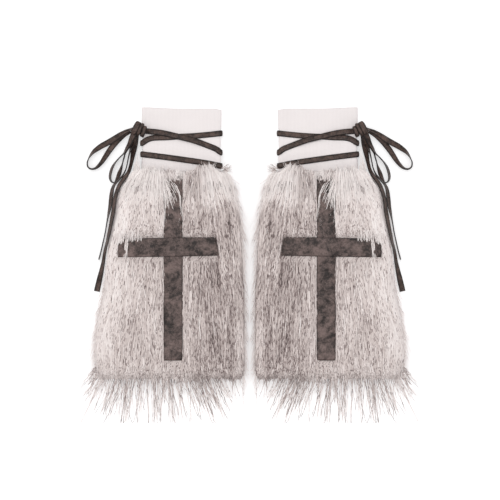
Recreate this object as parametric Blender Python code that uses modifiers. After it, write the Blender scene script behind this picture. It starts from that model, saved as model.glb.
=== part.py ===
"""A pair of fur leg warmers laid flat: knit cuffs, leather crosses and a lace wound round each cuff.

A leg warmer is worked out in its own measures: out from the middle line of its cuff towards the
outer side of the leg, down from the top edge of the cuff, and up from the floor it lies on.
"""
import math
import random

import bmesh
import bpy
from mathutils import Vector

MM = 0.001

# Placing of the pair
CUFF_SPACING = 231.4 * MM
TOTAL_LENGTH = 531.0 * MM

# Gap kept at every seam and between layers that touch
SEAM_GAP = 0.3 * MM

# Cuff: a double knit band, flat, its lower end lifted by the pile it is sewn to
CUFF_WIDTH = 136.0 * MM
CUFF_LENGTH = 110.2 * MM
CUFF_WALL = 2.4 * MM
CUFF_REST = 5.0 * MM
CUFF_RAMP_END = 104.0 * MM
CUFF_SAG = 3.4 * MM
CUFF_PINCH = (1.2 * MM, 62.0 * MM, 26.0 * MM)

# Fur: two panels, each a cloth with its pile, laid on each other
BACK_PILE = 14.0 * MM
BACK_ROUNDING = 11.0 * MM
FRONT_PILE = 24.0 * MM
FRONT_UNDERSIDE = BACK_PILE + SEAM_GAP
SHOULDER_RADIUS = 27.0 * MM
NOSE_RADIUS = 20.0 * MM
HEM_RADIUS = 22.0 * MM
HEM_FACE = 8.0 * MM
FUR_TOP = 110.5 * MM
FUR_HEM = 459.8 * MM

# Clumps of the pile: ridges as (share of the height, width of one, sideways wander, length of a
# wander), and tiers where tips end over the next clump, as (share, length, sideways step, its width)
LOCK_RELIEF = 3.0 * MM
RIDGES = ((0.37, 27.0 * MM, 1.4, 195.0 * MM), (0.25, 44.6 * MM, -1.1, 295.0 * MM))
TIERS = (0.9, 54.0 * MM, 0.5, 69.0 * MM)

# Leather cross: the bar lies over the upright
CROSS_WIDTH = 31.0 * MM
CROSS_MIDDLE = 13.4 * MM
UPRIGHT_TOP = 123.3 * MM
UPRIGHT_END = 428.6 * MM
BAR_DOWN = 237.5 * MM
BAR_OUTER = 106.5 * MM
BAR_INNER = -61.0 * MM
LEATHER = 1.6 * MM
PRESSED_DEPTH = 6.0 * MM
PRESSED_MARGIN = 1.0 * MM
PRESSED_WALL = 3.0 * MM

# Lace: one flat leather strip, wound three times round the cuff and tied in a bow
LACE_WIDTH = 10.0 * MM
LACE_THICKNESS = 1.5 * MM
KNOT_SIZE = (20.0 * MM, 17.0 * MM, 9.0 * MM)
KNOT_OUT = 70.2 * MM
KNOT_DOWN = 36.4 * MM
KNOT_TURN = math.radians(32.0)
KNOT_WAIST = 0.16
KNOT_BARREL = 0.10
KNOT_ROUNDING = 2.0 * MM
FLANK_CLEARANCE = 1.2 * MM

# Where one pass of the lace lies over another: middle, reach to each side and length of the rise
CROSSING_FRONT = (10.0 * MM, 50.0 * MM, 10.0 * MM)
CROSSING_BACK = (9.5 * MM, 51.5 * MM, 13.5 * MM)

# Loose hair past the hem and over the cuff, as locks on narrow strips
STRIP_DEPTH = 3.5 * MM
STRIP_HEIGHT = 4.0 * MM
STRIP_MARGIN = 1.0 * MM
LOCK_SECTIONS = (0.12, 0.45, 0.78)
LOCK_CURL = 1.2 * MM
FAN_ANGLE = 54.0
FAN_SHARE = 0.3
LEAN_ANGLE = 13.0
LEAN_START = 0.35
LEAN_SHARE = 0.6
TOP_HAIR_ENDS = (64.0 * MM, -28.0 * MM)
TOP_HAIR_UP = 27.0 * MM

# Outline of a fur panel, in millimetres: down, outer edge, inner edge
FUR_OUTLINE = (
    (110.5, 70.0, 70.3),
    (114.0, 89.0, 77.5),
    (119.0, 97.5, 82.5),
    (127.0, 104.0, 86.0),
    (147.0, 112.5, 90.0),
    (184.0, 119.2, 99.5),
    (242.0, 126.0, 105.0),
    (310.0, 132.7, 108.0),
    (355.0, 142.0, 108.6),
    (398.0, 147.0, 108.6),
    (438.0, 146.0, 108.4),
    (459.8, 135.4, 107.7),
)

# Middle lines of the lace across the cuff's front, in millimetres: out, down
LACE_FRONT = {
    "upper": ((68.3, 61.2), (58.2, 54.9), (48.4, 52.3), (25.9, 51.4), (6.2, 50.2),
              (-15.1, 49.3), (-43.3, 47.1), (-68.0, 44.4)),
    "diagonal": ((59.5, 41.0), (34.2, 43.7), (6.2, 50.0), (-22.0, 57.0), (-50.3, 67.2), (-68.0, 75.0)),
    "lower": ((68.0, 80.2), (27.3, 85.2), (-15.1, 91.0), (-43.1, 95.2), (-68.0, 100.0)),
}

# Bow, in millimetres and degrees: out, down, up, roll (0 lies flat, 90 stands on its edge,
# and a rising roll lifts the side that is on the right hand along the way)
LOOP_LARGE = (
    (84.6, 36.8, 15.6, 0), (94.4, 41.0, 14.4, 0), (104.5, 47.6, 12.4, 0), (114.5, 54.2, 11.0, -2),
    (125.5, 60.5, 9.6, -6), (135.2, 65.6, 8.2, -14), (142.4, 70.2, 7.2, -28), (148.5, 74.6, 6.4, -46),
    (153.4, 79.7, 6.0, -64), (157.4, 85.7, 5.6, -80), (159.9, 91.5, 5.5, -88), (160.4, 96.0, 5.5, -92),
    (159.2, 101.0, 5.5, -96), (155.6, 104.2, 5.5, -100), (151.0, 105.0, 5.5, -106), (146.3, 103.6, 5.5, -114),
    (141.7, 100.2, 5.2, -124), (135.9, 93.7, 4.8, -136), (131.0, 86.5, 4.4, -148), (125.9, 78.5, 4.4, -158),
    (120.3, 70.5, 5.2, -168), (113.8, 62.8, 6.8, -176), (105.8, 55.2, 8.6, -180), (97.3, 48.0, 10.8, -180),
    (87.2, 41.8, 12.6, -180),
)
LOOP_SMALL = (
    (79.4, 44.5, 18.4, 0), (83.6, 52.0, 17.8, -8), (87.4, 61.0, 16.6, -22), (92.0, 69.8, 14.2, -50),
    (98.2, 78.4, 11.0, -78), (105.2, 85.4, 7.8, -88), (112.3, 93.2, 6.2, -86), (117.6, 102.8, 5.8, -74),
    (120.4, 112.9, 5.6, -72), (120.2, 121.0, 5.6, -82), (117.2, 126.2, 5.6, -94), (112.8, 126.6, 5.6, -104),
    (108.6, 121.0, 5.6, -116), (105.4, 112.4, 5.6, -118), (102.8, 103.6, 6.0, -106), (100.0, 95.4, 7.2, -98),
    (96.4, 87.0, 9.4, -98), (92.2, 78.0, 12.2, -102), (87.6, 68.6, 14.2, -130), (83.6, 59.0, 15.3, -156),
    (80.6, 50.0, 15.9, -172), (78.0, 44.2, 16.2, -180),
)
TAIL_SHORT = (
    (78.2, 43.5, 14.2, 0), (79.6, 51.0, 13.9, -4), (81.4, 60.0, 13.4, -20), (84.4, 68.4, 13.7, -48),
    (87.4, 75.6, 13.6, -72), (89.6, 83.0, 13.6, -82), (91.6, 92.6, 14.4, -84), (93.4, 101.8, 15.4, -86),
    (95.6, 108.6, 16.0, -86), (99.8, 116.4, 16.8, -84), (106.4, 124.0, 17.4, -80), (112.8, 130.8, 16.8, -70),
    (117.2, 138.0, 14.4, -60), (119.8, 147.0, 11.0, -56), (121.6, 157.8, 8.6, -60), (123.4, 168.3, 6.8, -68),
    (125.4, 178.8, 6.0, -78), (127.6, 189.4, 5.7, -84), (130.2, 200.1, 5.7, -86), (132.6, 212.0, 5.7, -86),
    (135.6, 228.1, 5.7, -84), (138.6, 244.5, 5.7, -82), (141.2, 258.5, 5.7, -82),
)

# Long tail: first free, then lying on the flank of the pile, then on the floor.
# Free stretches as above; on the flank, down and degrees of climb round the shoulder
TAIL_LONG_START = (
    (77.2, 43.5, 12.2, 0), (78.2, 51.0, 11.6, 0), (79.0, 60.0, 10.0, 0), (80.0, 69.0, 9.1, -4),
    (81.4, 80.0, 10.8, -8), (82.6, 91.0, 15.2, -12), (85.0, 101.5, 20.8, -18), (88.6, 111.0, 26.6, -28),
)
TAIL_LONG_FLANK = ((121.0, 40.0), (132.0, 37.0), (145.0, 34.0), (160.0, 31.0), (176.0, 30.0), (194.0, 28.0),
                   (212.0, 25.0), (228.0, 20.0))
TAIL_LONG_END = (
    (129.8, 246.0, 16.6, -58), (132.4, 262.0, 11.0, -52), (136.0, 278.0, 6.0, -36), (139.8, 294.0, 2.8, -14),
    (144.1, 312.5, 1.2, 0),
)


def clear_scene():
    for thing in list(bpy.data.objects):
        bpy.data.objects.remove(thing)


def make_collection(name):
    collection = bpy.data.collections.new(name)
    bpy.context.scene.collection.children.link(collection)
    return collection


def make_material(name, colour, roughness):
    material = bpy.data.materials.new(name)
    material.use_nodes = True
    shader = material.node_tree.nodes["Principled BSDF"]
    shader.inputs["Base Color"].default_value = (*colour, 1.0)
    shader.inputs["Roughness"].default_value = roughness
    shader.inputs["Metallic"].default_value = 0.0
    return material


FINISHES = {
    "knit": ((0.84, 0.82, 0.82), 0.9),
    "fur": ((0.70, 0.66, 0.65), 0.95),
    "leather": ((0.07, 0.052, 0.048), 0.55),
}


def make_leg(collection, name, side):
    """An empty at the top edge of a cuff, which carries the pieces of that leg warmer."""
    empty = bpy.data.objects.new(name, None)
    empty.location = (side * CUFF_SPACING / 2, TOTAL_LENGTH / 2, 0.0)
    collection.objects.link(empty)
    return {"name": name, "side": side, "empty": empty, "collection": collection}


def leg_point(leg, out, down, up):
    return Vector((leg["side"] * out, -down, up))


def add_piece(leg, name, bm, finish, thickness=0.0):
    """Turn a bmesh into a piece of the leg warmer; a thickness makes a shell of an open surface."""
    if not thickness:
        bmesh.ops.recalc_face_normals(bm, faces=bm.faces)
    full_name = leg["name"] + "_" + name
    mesh = bpy.data.meshes.new(full_name)
    bm.to_mesh(mesh)
    bm.free()
    mesh.shade_smooth()
    mesh.set_sharp_from_angle(angle=math.radians(40.0))
    mesh.materials.append(make_material(full_name, *FINISHES[finish]))
    piece = bpy.data.objects.new(full_name, mesh)
    piece.parent = leg["empty"]
    leg["collection"].objects.link(piece)
    if thickness:
        shell = piece.modifiers.new("Wall", "SOLIDIFY")
        shell.thickness = thickness
        shell.offset = 0.0
        shell.use_even_offset = True
    return piece


def ease(amount):
    amount = min(max(amount, 0.0), 1.0)
    return amount * amount * (3.0 - 2.0 * amount)


def blend_rows(rows, place):
    """Smooth values between the rows of a table whose first column rises."""
    place = min(max(place, rows[0][0]), rows[-1][0])
    index = max(i for i in range(len(rows) - 1) if rows[i][0] <= place)
    before, after = rows[max(index - 1, 0)], rows[min(index + 2, len(rows) - 1)]
    start, end = rows[index], rows[index + 1]
    step = end[0] - start[0]
    t = (place - start[0]) / step
    values = []
    for k in range(1, len(start)):
        slope_in = (end[k] - before[k]) / (end[0] - before[0]) * step
        slope_out = (after[k] - start[k]) / (after[0] - start[0]) * step
        values.append((2 * t**3 - 3 * t**2 + 1) * start[k] + (t**3 - 2 * t**2 + t) * slope_in
                      + (3 * t**2 - 2 * t**3) * end[k] + (t**3 - t**2) * slope_out)
    return values


def smooth_route(points, count):
    """Points read evenly from a smooth curve through a route's own points."""
    lengths = [0.0]
    for first, second in zip(points, points[1:]):
        lengths.append(lengths[-1] + math.dist(first[:2], second[:2]))
    rows = [(length, *point) for length, point in zip(lengths, points)]
    return [blend_rows(rows, lengths[-1] * k / (count - 1)) for k in range(count)]


def grid_faces(bm, rows):
    for upper, lower in zip(rows, rows[1:]):
        for k in range(len(upper) - 1):
            bm.faces.new((upper[k], upper[k + 1], lower[k + 1], lower[k]))


# Knit cuff

def cuff_underside(down):
    """Height of the cuff's lower face: on the floor at its top edge, lifted towards the fur."""
    lift = BACK_PILE - CUFF_WALL
    return lift * ease((down - CUFF_REST) / (CUFF_RAMP_END - CUFF_REST))


def cuff_top(down):
    return cuff_underside(down) + 2 * CUFF_WALL + SEAM_GAP


def cuff_panel(leg, name, layer):
    """One face of the cuff; its side edges are pinched a little where the lace pulls."""
    columns = 6
    downs = [0.0, CUFF_REST] + [CUFF_LENGTH * k / 14 for k in range(1, 15)]
    pinch_depth, pinch_down, pinch_reach = CUFF_PINCH
    bm = bmesh.new()
    rows = []
    for down in downs:
        half = CUFF_WIDTH / 2 - pinch_depth * math.exp(-((down - pinch_down) / pinch_reach) ** 2)
        sag = CUFF_SAG if down == 0.0 else 0.0
        up = cuff_underside(down) + CUFF_WALL / 2 + layer * (CUFF_WALL + SEAM_GAP)
        row = []
        for k in range(columns + 1):
            across = 1.0 - 2.0 * k / columns
            dip = sag * (1.0 - across * across)
            row.append(bm.verts.new(leg_point(leg, half * across, min(down + dip, CUFF_LENGTH), up)))
        rows.append(row)
    grid_faces(bm, rows)
    return add_piece(leg, name, bm, "knit", thickness=CUFF_WALL)


# Fur panels

def fur_edges(down):
    outer, inner = blend_rows(FUR_OUTLINE, down / MM)
    return outer * MM, -inner * MM


def round_rise(distance, radius):
    """Height, from 0 to 1, of a quarter ellipse at a distance from its foot."""
    left = 1.0 - min(max(distance / radius, 0.0), 1.0)
    return math.sqrt(max(1.0 - left * left, 0.0))


def lock_relief(out, down):
    """Clumps of hair: ridges that wander down the panel and step down where a tier of tips ends."""
    turn = 2 * math.pi
    height = 0.0
    for share, width, wander, length in RIDGES:
        height += share * math.sin(turn * out / width + wander * math.sin(turn * down / length))
    share, length, step, width = TIERS
    tier = (down / length + step * math.sin(turn * out / width)) % 1.0
    return LOCK_RELIEF * (height + share * (tier - 0.5))


def in_cross(out, down):
    half = CROSS_WIDTH / 2 + 1.5 * PRESSED_MARGIN
    on_upright = abs(out - CROSS_MIDDLE) < half and down > UPRIGHT_TOP - 2 * PRESSED_MARGIN
    on_upright = on_upright and down < UPRIGHT_END + 1.5 * PRESSED_MARGIN
    on_bar = abs(down - BAR_DOWN) < half and BAR_INNER - 3 * MM < out < BAR_OUTER + 3 * MM
    return on_upright or on_bar


def front_height(out, down):
    """Height of the front pile above the floor."""
    outer, inner = fur_edges(down)
    across = (2 * out - outer - inner) / (outer - inner)
    dome = 1.0 - 0.10 * across * across
    sides = round_rise(outer - out, SHOULDER_RADIUS) * round_rise(out - inner, SHOULDER_RADIUS)
    nose = round_rise(down - FUR_TOP, NOSE_RADIUS)
    hem = HEM_FACE / FRONT_PILE + (1 - HEM_FACE / FRONT_PILE) * round_rise(FUR_HEM - down, HEM_RADIUS)
    body = sides * nose * hem
    if in_cross(out, down):
        height = FRONT_PILE * dome * body - PRESSED_DEPTH * body
    else:
        height = FRONT_PILE * dome * body + lock_relief(out, down) * body**2
    return FRONT_UNDERSIDE + height


def rounding_steps(radius, angles):
    return [radius * (1.0 - math.cos(math.radians(angle))) for angle in angles]


def fur_rows():
    """Down values of the front panel's rows, closer where the pile rounds or is pressed."""
    half = CROSS_WIDTH / 2 + PRESSED_MARGIN
    bar_top, bar_end = BAR_DOWN - half, BAR_DOWN + half
    rows = [FUR_TOP + step for step in rounding_steps(NOSE_RADIUS, (0, 26, 45, 63, 90))]
    rows += [rows[-1] + (bar_top - PRESSED_WALL - rows[-1]) * k / 9 for k in range(1, 10)]
    rows += [bar_top, BAR_DOWN, bar_end]
    end_of_upright = UPRIGHT_END + PRESSED_MARGIN
    start = bar_end + PRESSED_WALL
    rows += [start + (end_of_upright - start) * k / 17 for k in range(18)]
    rows += [end_of_upright + PRESSED_WALL]
    rows += [FUR_HEM - step for step in rounding_steps(HEM_RADIUS, (80, 55, 30, 0))]
    return rows


def fur_columns(down):
    """Out values across the front panel, from the outer edge to the inner one."""
    outer, inner = fur_edges(down)
    half = CROSS_WIDTH / 2 + PRESSED_MARGIN
    steps = rounding_steps(SHOULDER_RADIUS, (0, 24, 48, 70))
    outer_round, inner_round = outer - SHOULDER_RADIUS, inner + SHOULDER_RADIUS
    upright_outer, upright_inner = CROSS_MIDDLE + half, CROSS_MIDDLE - half
    left_end, right_end = upright_outer + PRESSED_WALL, upright_inner - PRESSED_WALL
    columns = [outer - step for step in steps]
    columns += [outer_round + (left_end - outer_round) * k / 8 for k in range(9)]
    columns += [upright_outer, CROSS_MIDDLE, upright_inner]
    columns += [right_end + (inner_round - right_end) * k / 8 for k in range(9)]
    columns += [inner + step for step in reversed(steps)]
    return columns


def front_grid():
    """Rows of (out, down, up) on top of the front panel, the surface that the cross lies on."""
    grid = []
    for down in fur_rows():
        grid.append([(out, down, front_height(out, down)) for out in fur_columns(down)])
    hem = [(out, FUR_HEM, FRONT_UNDERSIDE) for out, down, up in grid[-1]]
    return grid, hem


def height_on_grid(grid, out, down):
    """Height of the front panel's faces at a place, read between the points of its grid."""
    row = max(i for i in range(len(grid) - 1) if grid[i][0][1] <= down)
    heights = []
    for points in (grid[row], grid[row + 1]):
        column = max(k for k in range(len(points) - 1) if points[k][0] >= out)
        near, far = points[column], points[column + 1]
        share = (near[0] - out) / (near[0] - far[0])
        heights.append(near[2] + (far[2] - near[2]) * share)
    share = (down - grid[row][0][1]) / (grid[row + 1][0][1] - grid[row][0][1])
    return heights[0] + (heights[1] - heights[0]) * share


def fur_front(leg, grid, hem):
    bm = bmesh.new()
    rows = [[bm.verts.new(leg_point(leg, *point)) for point in row] for row in grid]
    inside_hem = [bm.verts.new(leg_point(leg, *point)) for point in hem[1:-1]]
    last = [rows[-1][0]] + inside_hem + [rows[-1][-1]]
    grid_faces(bm, rows)
    bm.faces.new((last[0], *rows[-1][1:-1], last[-1], *reversed(inside_hem)))
    under = [row[0] for row in rows] + inside_hem + [row[-1] for row in reversed(rows)]
    under += list(reversed(rows[0][1:-1]))
    bm.faces.new(under)
    return add_piece(leg, "fur_front", bm, "fur")


def fur_outline_loop():
    """The outline of a fur panel, once round, as (out, down)."""
    span = FUR_HEM - FUR_TOP
    downs = [FUR_TOP + span * share for share in (0, 0.012, 0.035, 0.07, 0.13, 0.21)]
    downs += [FUR_TOP + span * share for share in (0.32, 0.45, 0.58, 0.7, 0.8, 0.88, 0.95, 1.0)]
    outer = [(fur_edges(down)[0], down) for down in downs]
    inner = [(fur_edges(down)[1], down) for down in reversed(downs)]
    hem = [(outer[-1][0] + (inner[0][0] - outer[-1][0]) * k / 8, FUR_HEM) for k in range(1, 8)]
    top = [(inner[-1][0] + (outer[0][0] - inner[-1][0]) * k / 6, FUR_TOP) for k in range(1, 6)]
    return outer + hem + inner + top


def inset_loop(loop, distance):
    """The same outline drawn in by a distance, each point along its own corner's middle line."""
    inset = []
    for index, point in enumerate(loop):
        here = Vector(point)
        before = (here - Vector(loop[index - 1])).normalized()
        after = (Vector(loop[(index + 1) % len(loop)]) - here).normalized()
        along = (before + after).normalized()
        inset.append(here + Vector((-along.y, along.x)) * distance)
    return inset


def fur_back(leg):
    """The panel underneath: its pile is pressed flat where the leg warmer rests on it."""
    loop = fur_outline_loop()
    bm = bmesh.new()
    sections = []
    for climb in (0.0, 0.36, 0.68, 1.0):
        inward = BACK_ROUNDING * (1.0 - math.sin(climb * math.pi / 2))
        up = BACK_PILE * (1.0 - math.cos(climb * math.pi / 2))
        points = inset_loop(loop, inward)
        sections.append([bm.verts.new(leg_point(leg, point[0], point[1], up)) for point in points])
    for lower, upper in zip(sections, sections[1:]):
        for k in range(len(lower)):
            bm.faces.new((lower[k - 1], lower[k], upper[k], upper[k - 1]))
    bm.faces.new(sections[0])
    bm.faces.new(sections[-1])
    return add_piece(leg, "fur_back", bm, "fur")


# Leather cross

def cross_upright(leg, grid):
    inside = [row[0][1] for row in grid if UPRIGHT_TOP < row[0][1] < UPRIGHT_END]
    downs = [UPRIGHT_TOP] + inside + [UPRIGHT_END]
    lift = SEAM_GAP + LEATHER / 2
    bm = bmesh.new()
    rows = []
    for down in downs:
        outs = (CROSS_MIDDLE + CROSS_WIDTH / 2, CROSS_MIDDLE, CROSS_MIDDLE - CROSS_WIDTH / 2)
        points = [(out, down, height_on_grid(grid, out, down) + lift) for out in outs]
        rows.append([bm.verts.new(leg_point(leg, *point)) for point in points])
    grid_faces(bm, rows)
    return add_piece(leg, "cross_upright", bm, "leather", thickness=LEATHER)


def cross_bar(leg, grid):
    half = CROSS_WIDTH / 2
    columns = [out for out in fur_columns(BAR_DOWN) if BAR_INNER < out < BAR_OUTER]
    over = half + 1.5 * PRESSED_MARGIN
    bm = bmesh.new()
    rows = []
    for down in (BAR_DOWN - half, BAR_DOWN, BAR_DOWN + half):
        row = []
        for out in [BAR_OUTER] + columns + [BAR_INNER]:
            lift = 2 * SEAM_GAP + LEATHER / 2
            if abs(out - CROSS_MIDDLE) < over:
                lift += LEATHER + SEAM_GAP
            row.append(bm.verts.new(leg_point(leg, out, down, height_on_grid(grid, out, down) + lift)))
        rows.append(row)
    grid_faces(bm, rows)
    return add_piece(leg, "cross_bar", bm, "leather", thickness=LEATHER)


# Lace

def strip(leg, name, centres, sideways):
    """A flat strip along its middle line, with the direction of its width at each point."""
    bm = bmesh.new()
    rows = []
    for centre, side in zip(centres, sideways):
        reach = side.normalized() * LACE_WIDTH / 2
        rows.append([bm.verts.new(leg_point(leg, *place)) for place in (centre - reach, centre + reach)])
    grid_faces(bm, rows)
    return add_piece(leg, name, bm, "leather", thickness=LACE_THICKNESS)


def surface_strip(points, height):
    """Centres and width directions of a strip on a surface given by height(down), square at both ends."""
    centres = [Vector((out, down, height(down) + lift)) for out, down, lift in points]
    last = len(centres) - 1
    sideways = []
    for index, centre in enumerate(centres):
        ahead = centres[min(index + 1, last)] - centres[max(index - 1, 0)]
        if index in (0, last):
            ahead = Vector((ahead.x, 0.0, 0.0))
        slope = (height(centre.y + MM) - height(centre.y - MM)) / (2 * MM)
        normal = Vector((0.0, -slope, 1.0)).normalized()
        sideways.append(normal.cross(ahead).normalized())
    return centres, sideways


def half_turn(front, back, outwards):
    """The bend of the lace round a side edge of the cuff, from its front height to its back one."""
    middle, radius = (front.z + back.z) / 2, (front.z - back.z) / 2
    centres = []
    for angle in (30, 60, 90, 120, 150):
        turn = math.radians(angle)
        out = front.x + outwards * radius * math.sin(turn)
        down = front.y + (back.y - front.y) * angle / 180
        centres.append(Vector((out, down, middle + radius * math.cos(turn))))
    return centres


def crossing_share(crossing, out):
    """How much of the lift or drop of a crossing a strip has at a place, from 0 to 1."""
    middle, reach, fade = crossing
    return ease((reach - abs(out - middle)) / fade)


def lace_front(leg, key, crossing_lift=0.0, turns=(1, -1)):
    """One pass of the lace over the cuff, with its bends round the side edges."""
    rest = SEAM_GAP + LACE_THICKNESS / 2
    route = smooth_route([(out * MM, down * MM) for out, down in LACE_FRONT[key]], 12)
    points = []
    for out, down in route:
        points.append((out, down, rest + crossing_lift * crossing_share(CROSSING_FRONT, out)))
    centres, sideways = surface_strip(points, cuff_top)
    for outwards in turns:
        end = centres[0] if outwards > 0 else centres[-1]
        back = Vector((end.x, end.y, max(cuff_underside(end.y) - rest, LACE_THICKNESS)))
        bend = half_turn(end, back, outwards) + [back]
        if outwards > 0:
            centres = list(reversed(bend)) + centres
            sideways = [sideways[0]] * len(bend) + sideways
        else:
            centres = centres + bend
            sideways = sideways + [sideways[-1]] * len(bend)
    return strip(leg, "lace_front_" + key, centres, sideways)


def lace_back(leg, key, start, end, drop=0.0, turn_up=False):
    """One pass of the lace under the cuff, from its inner edge to its outer one."""
    rest = SEAM_GAP + LACE_THICKNESS / 2
    reach = CUFF_WIDTH / 2 - SEAM_GAP
    points = []
    for k in range(13):
        share = k / 12
        out = -reach + 2 * reach * share
        lowered = drop * crossing_share(CROSSING_BACK, out)
        points.append((out, (start + (end - start) * share) * MM, -rest - lowered))
    centres, sideways = surface_strip(points, cuff_underside)
    if turn_up:
        top = Vector((centres[-1].x, centres[-1].y, cuff_top(centres[-1].y) + rest))
        bend = half_turn(top, centres[-1], 1)
        centres += list(reversed(bend)) + [top]
        sideways += [sideways[-1]] * (len(bend) + 1)
    return strip(leg, "lace_back_" + key, centres, sideways)


def bow_strip(leg, name, points, count):
    """A loop or tail of the bow through points that give its place and its roll."""
    centres, sideways = [], []
    samples = smooth_route(points, count)
    for out, down, up, roll in samples:
        centres.append(Vector((out, down, up)) * MM)
    for index, sample in enumerate(samples):
        ahead = centres[min(index + 1, count - 1)] - centres[max(index - 1, 0)]
        level = Vector((ahead.y, -ahead.x, 0.0)).normalized()
        upright = level.cross(ahead).normalized()
        if upright.z < 0:
            upright = -upright
        roll = math.radians(sample[3])
        sideways.append(level * math.cos(roll) + upright * math.sin(roll))
    return strip(leg, name, centres, sideways)


def flank_points():
    """The long tail's points on the flank of the pile, clear of it by half the strip."""
    clearance = (LACE_THICKNESS / 2 + FLANK_CLEARANCE) / MM
    points = []
    for down, climb in TAIL_LONG_FLANK:
        angle = math.radians(climb)
        outer = fur_edges(down * MM)[0]
        out = (outer - SHOULDER_RADIUS * (1.0 - math.cos(angle))) / MM
        up = (FRONT_UNDERSIDE + FRONT_PILE * math.sin(angle)) / MM
        tilt = math.atan2(FRONT_PILE * math.cos(angle), SHOULDER_RADIUS * math.sin(angle))
        out += clearance * math.sin(tilt)
        up += clearance * math.cos(tilt)
        points.append((out, down, up, -math.degrees(tilt)))
    return points


def knot(leg):
    bm = bmesh.new()
    bmesh.ops.create_cube(bm, size=1.0)
    bmesh.ops.scale(bm, vec=KNOT_SIZE, verts=bm.verts)
    bmesh.ops.subdivide_edges(bm, edges=bm.edges, cuts=2, use_grid_fill=True)
    for vert in bm.verts:
        vert.co.y *= 1.0 - KNOT_WAIST * math.cos(math.pi * vert.co.x / KNOT_SIZE[0])
        vert.co.x *= 1.0 - KNOT_BARREL * (2 * vert.co.y / KNOT_SIZE[1]) ** 2
    piece = add_piece(leg, "lace_knot", bm, "leather")
    rounding = piece.modifiers.new("Rounding", "BEVEL")
    rounding.width = KNOT_ROUNDING
    rounding.segments = 1
    base = cuff_top(KNOT_DOWN + LACE_WIDTH) + LACE_THICKNESS + 2 * SEAM_GAP
    piece.location = leg_point(leg, KNOT_OUT, KNOT_DOWN, base + KNOT_SIZE[2] / 2)
    piece.rotation_euler = (0.0, 0.0, leg["side"] * KNOT_TURN)
    return piece


def lace(leg):
    lace_front(leg, "upper")
    lace_front(leg, "diagonal", crossing_lift=LACE_THICKNESS + SEAM_GAP, turns=(-1,))
    lace_front(leg, "lower")
    lace_back(leg, "middle", 75.0, 80.2)
    lace_back(leg, "rising", 100.0, 61.2, drop=LACE_THICKNESS + SEAM_GAP)
    lace_back(leg, "upper", 44.4, 41.0, turn_up=True)
    knot(leg)
    bow_strip(leg, "loop_large", LOOP_LARGE, 34)
    bow_strip(leg, "loop_small", LOOP_SMALL, 30)
    bow_strip(leg, "tail_short", TAIL_SHORT, 26)
    bow_strip(leg, "tail_long", TAIL_LONG_START + tuple(flank_points()) + TAIL_LONG_END, 28)


# Loose hair

def comb(leg, name, ends, up, locks):
    """A narrow strip between two ends, outer first, with a lock of hair drawn out of each of its cells.

    ends are (out, down) of the strip's near edge, and up is the height of its lower face.
    """
    count = len(locks)
    start, end = Vector(ends[0]), Vector(ends[1])
    forward = locks[0]["forward"]
    bm = bmesh.new()
    rails = []
    for k in range(count + 1):
        place = start.lerp(end, k / count)
        near, far = place.y, place.y + forward * STRIP_DEPTH
        corners = [(near, up), (near, up + STRIP_HEIGHT), (far, up + STRIP_HEIGHT), (far, up)]
        rails.append([bm.verts.new(leg_point(leg, place.x, down, height)) for down, height in corners])
    for first, second in zip(rails, rails[1:]):
        for a, b in ((0, 1), (1, 2), (3, 0)):
            bm.faces.new((first[a], first[b], second[b], second[a]))
    bm.faces.new(rails[0])
    bm.faces.new(rails[-1])
    for k, lock in enumerate(locks):
        root = [rails[k][3], rails[k][2], rails[k + 1][2], rails[k + 1][3]]
        middle = start.lerp(end, (k + 0.5) / count)
        draw_lock(leg, bm, root, middle, abs(end.x - start.x) / count, up, lock)
    return add_piece(leg, name, bm, "fur")


def draw_lock(leg, bm, root, middle, width, up, lock):
    """One lock from the four corners of its root, outer side first, to its tip."""
    forward, cosine, sine = lock["forward"], math.cos(lock["angle"]), math.sin(lock["angle"])
    base = Vector((middle.x, middle.y + forward * STRIP_DEPTH, up + STRIP_HEIGHT / 2))
    direction = Vector((sine, forward * cosine, 0.0))
    sideways = Vector((cosine, -forward * sine, 0.0))
    previous = root
    for share in LOCK_SECTIONS:
        centre = base + direction * lock["length"] * share
        centre.x += lock["curl"] * math.sin(share * math.pi)
        centre.z += (lock["tip_up"] - base.z) * share**lock["droop"]
        half_width = 0.5 * width * (0.86 - 0.62 * share)
        half_height = 0.5 * STRIP_HEIGHT * (1.0 - 0.6 * share)
        corners = ((1, -1), (1, 1), (-1, 1), (-1, -1))
        ring = []
        for across, over in corners:
            place = centre + sideways * across * half_width + Vector((0.0, 0.0, over * half_height))
            ring.append(bm.verts.new(leg_point(leg, *place)))
        for k in range(4):
            bm.faces.new((previous[k - 1], previous[k], ring[k], ring[k - 1]))
        previous = ring
    tip = base + direction * lock["length"]
    apex = bm.verts.new(leg_point(leg, tip.x, tip.y, lock["tip_up"]))
    for k in range(4):
        bm.faces.new((previous[k - 1], previous[k], apex))


def hem_locks(count, seed, lengths, tip_up, droop):
    """Locks that fan out at the hem's outer corner and lean in further along, each with its own length."""
    shuffle = random.Random(seed)
    locks = []
    for k in range(count):
        inward = (k + 0.5) / count
        corner = max(1.0 - inward / FAN_SHARE, 0.0)
        lean = math.sin(math.pi * min(max((inward - LEAN_START) / LEAN_SHARE, 0.0), 1.0))
        locks.append({
            "angle": math.radians(FAN_ANGLE * corner**1.2 - LEAN_ANGLE * lean), "forward": 1,
            "length": shuffle.uniform(*lengths) * MM, "curl": shuffle.uniform(-LOCK_CURL, LOCK_CURL),
            "tip_up": tip_up * MM, "droop": droop,
        })
    return locks


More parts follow.
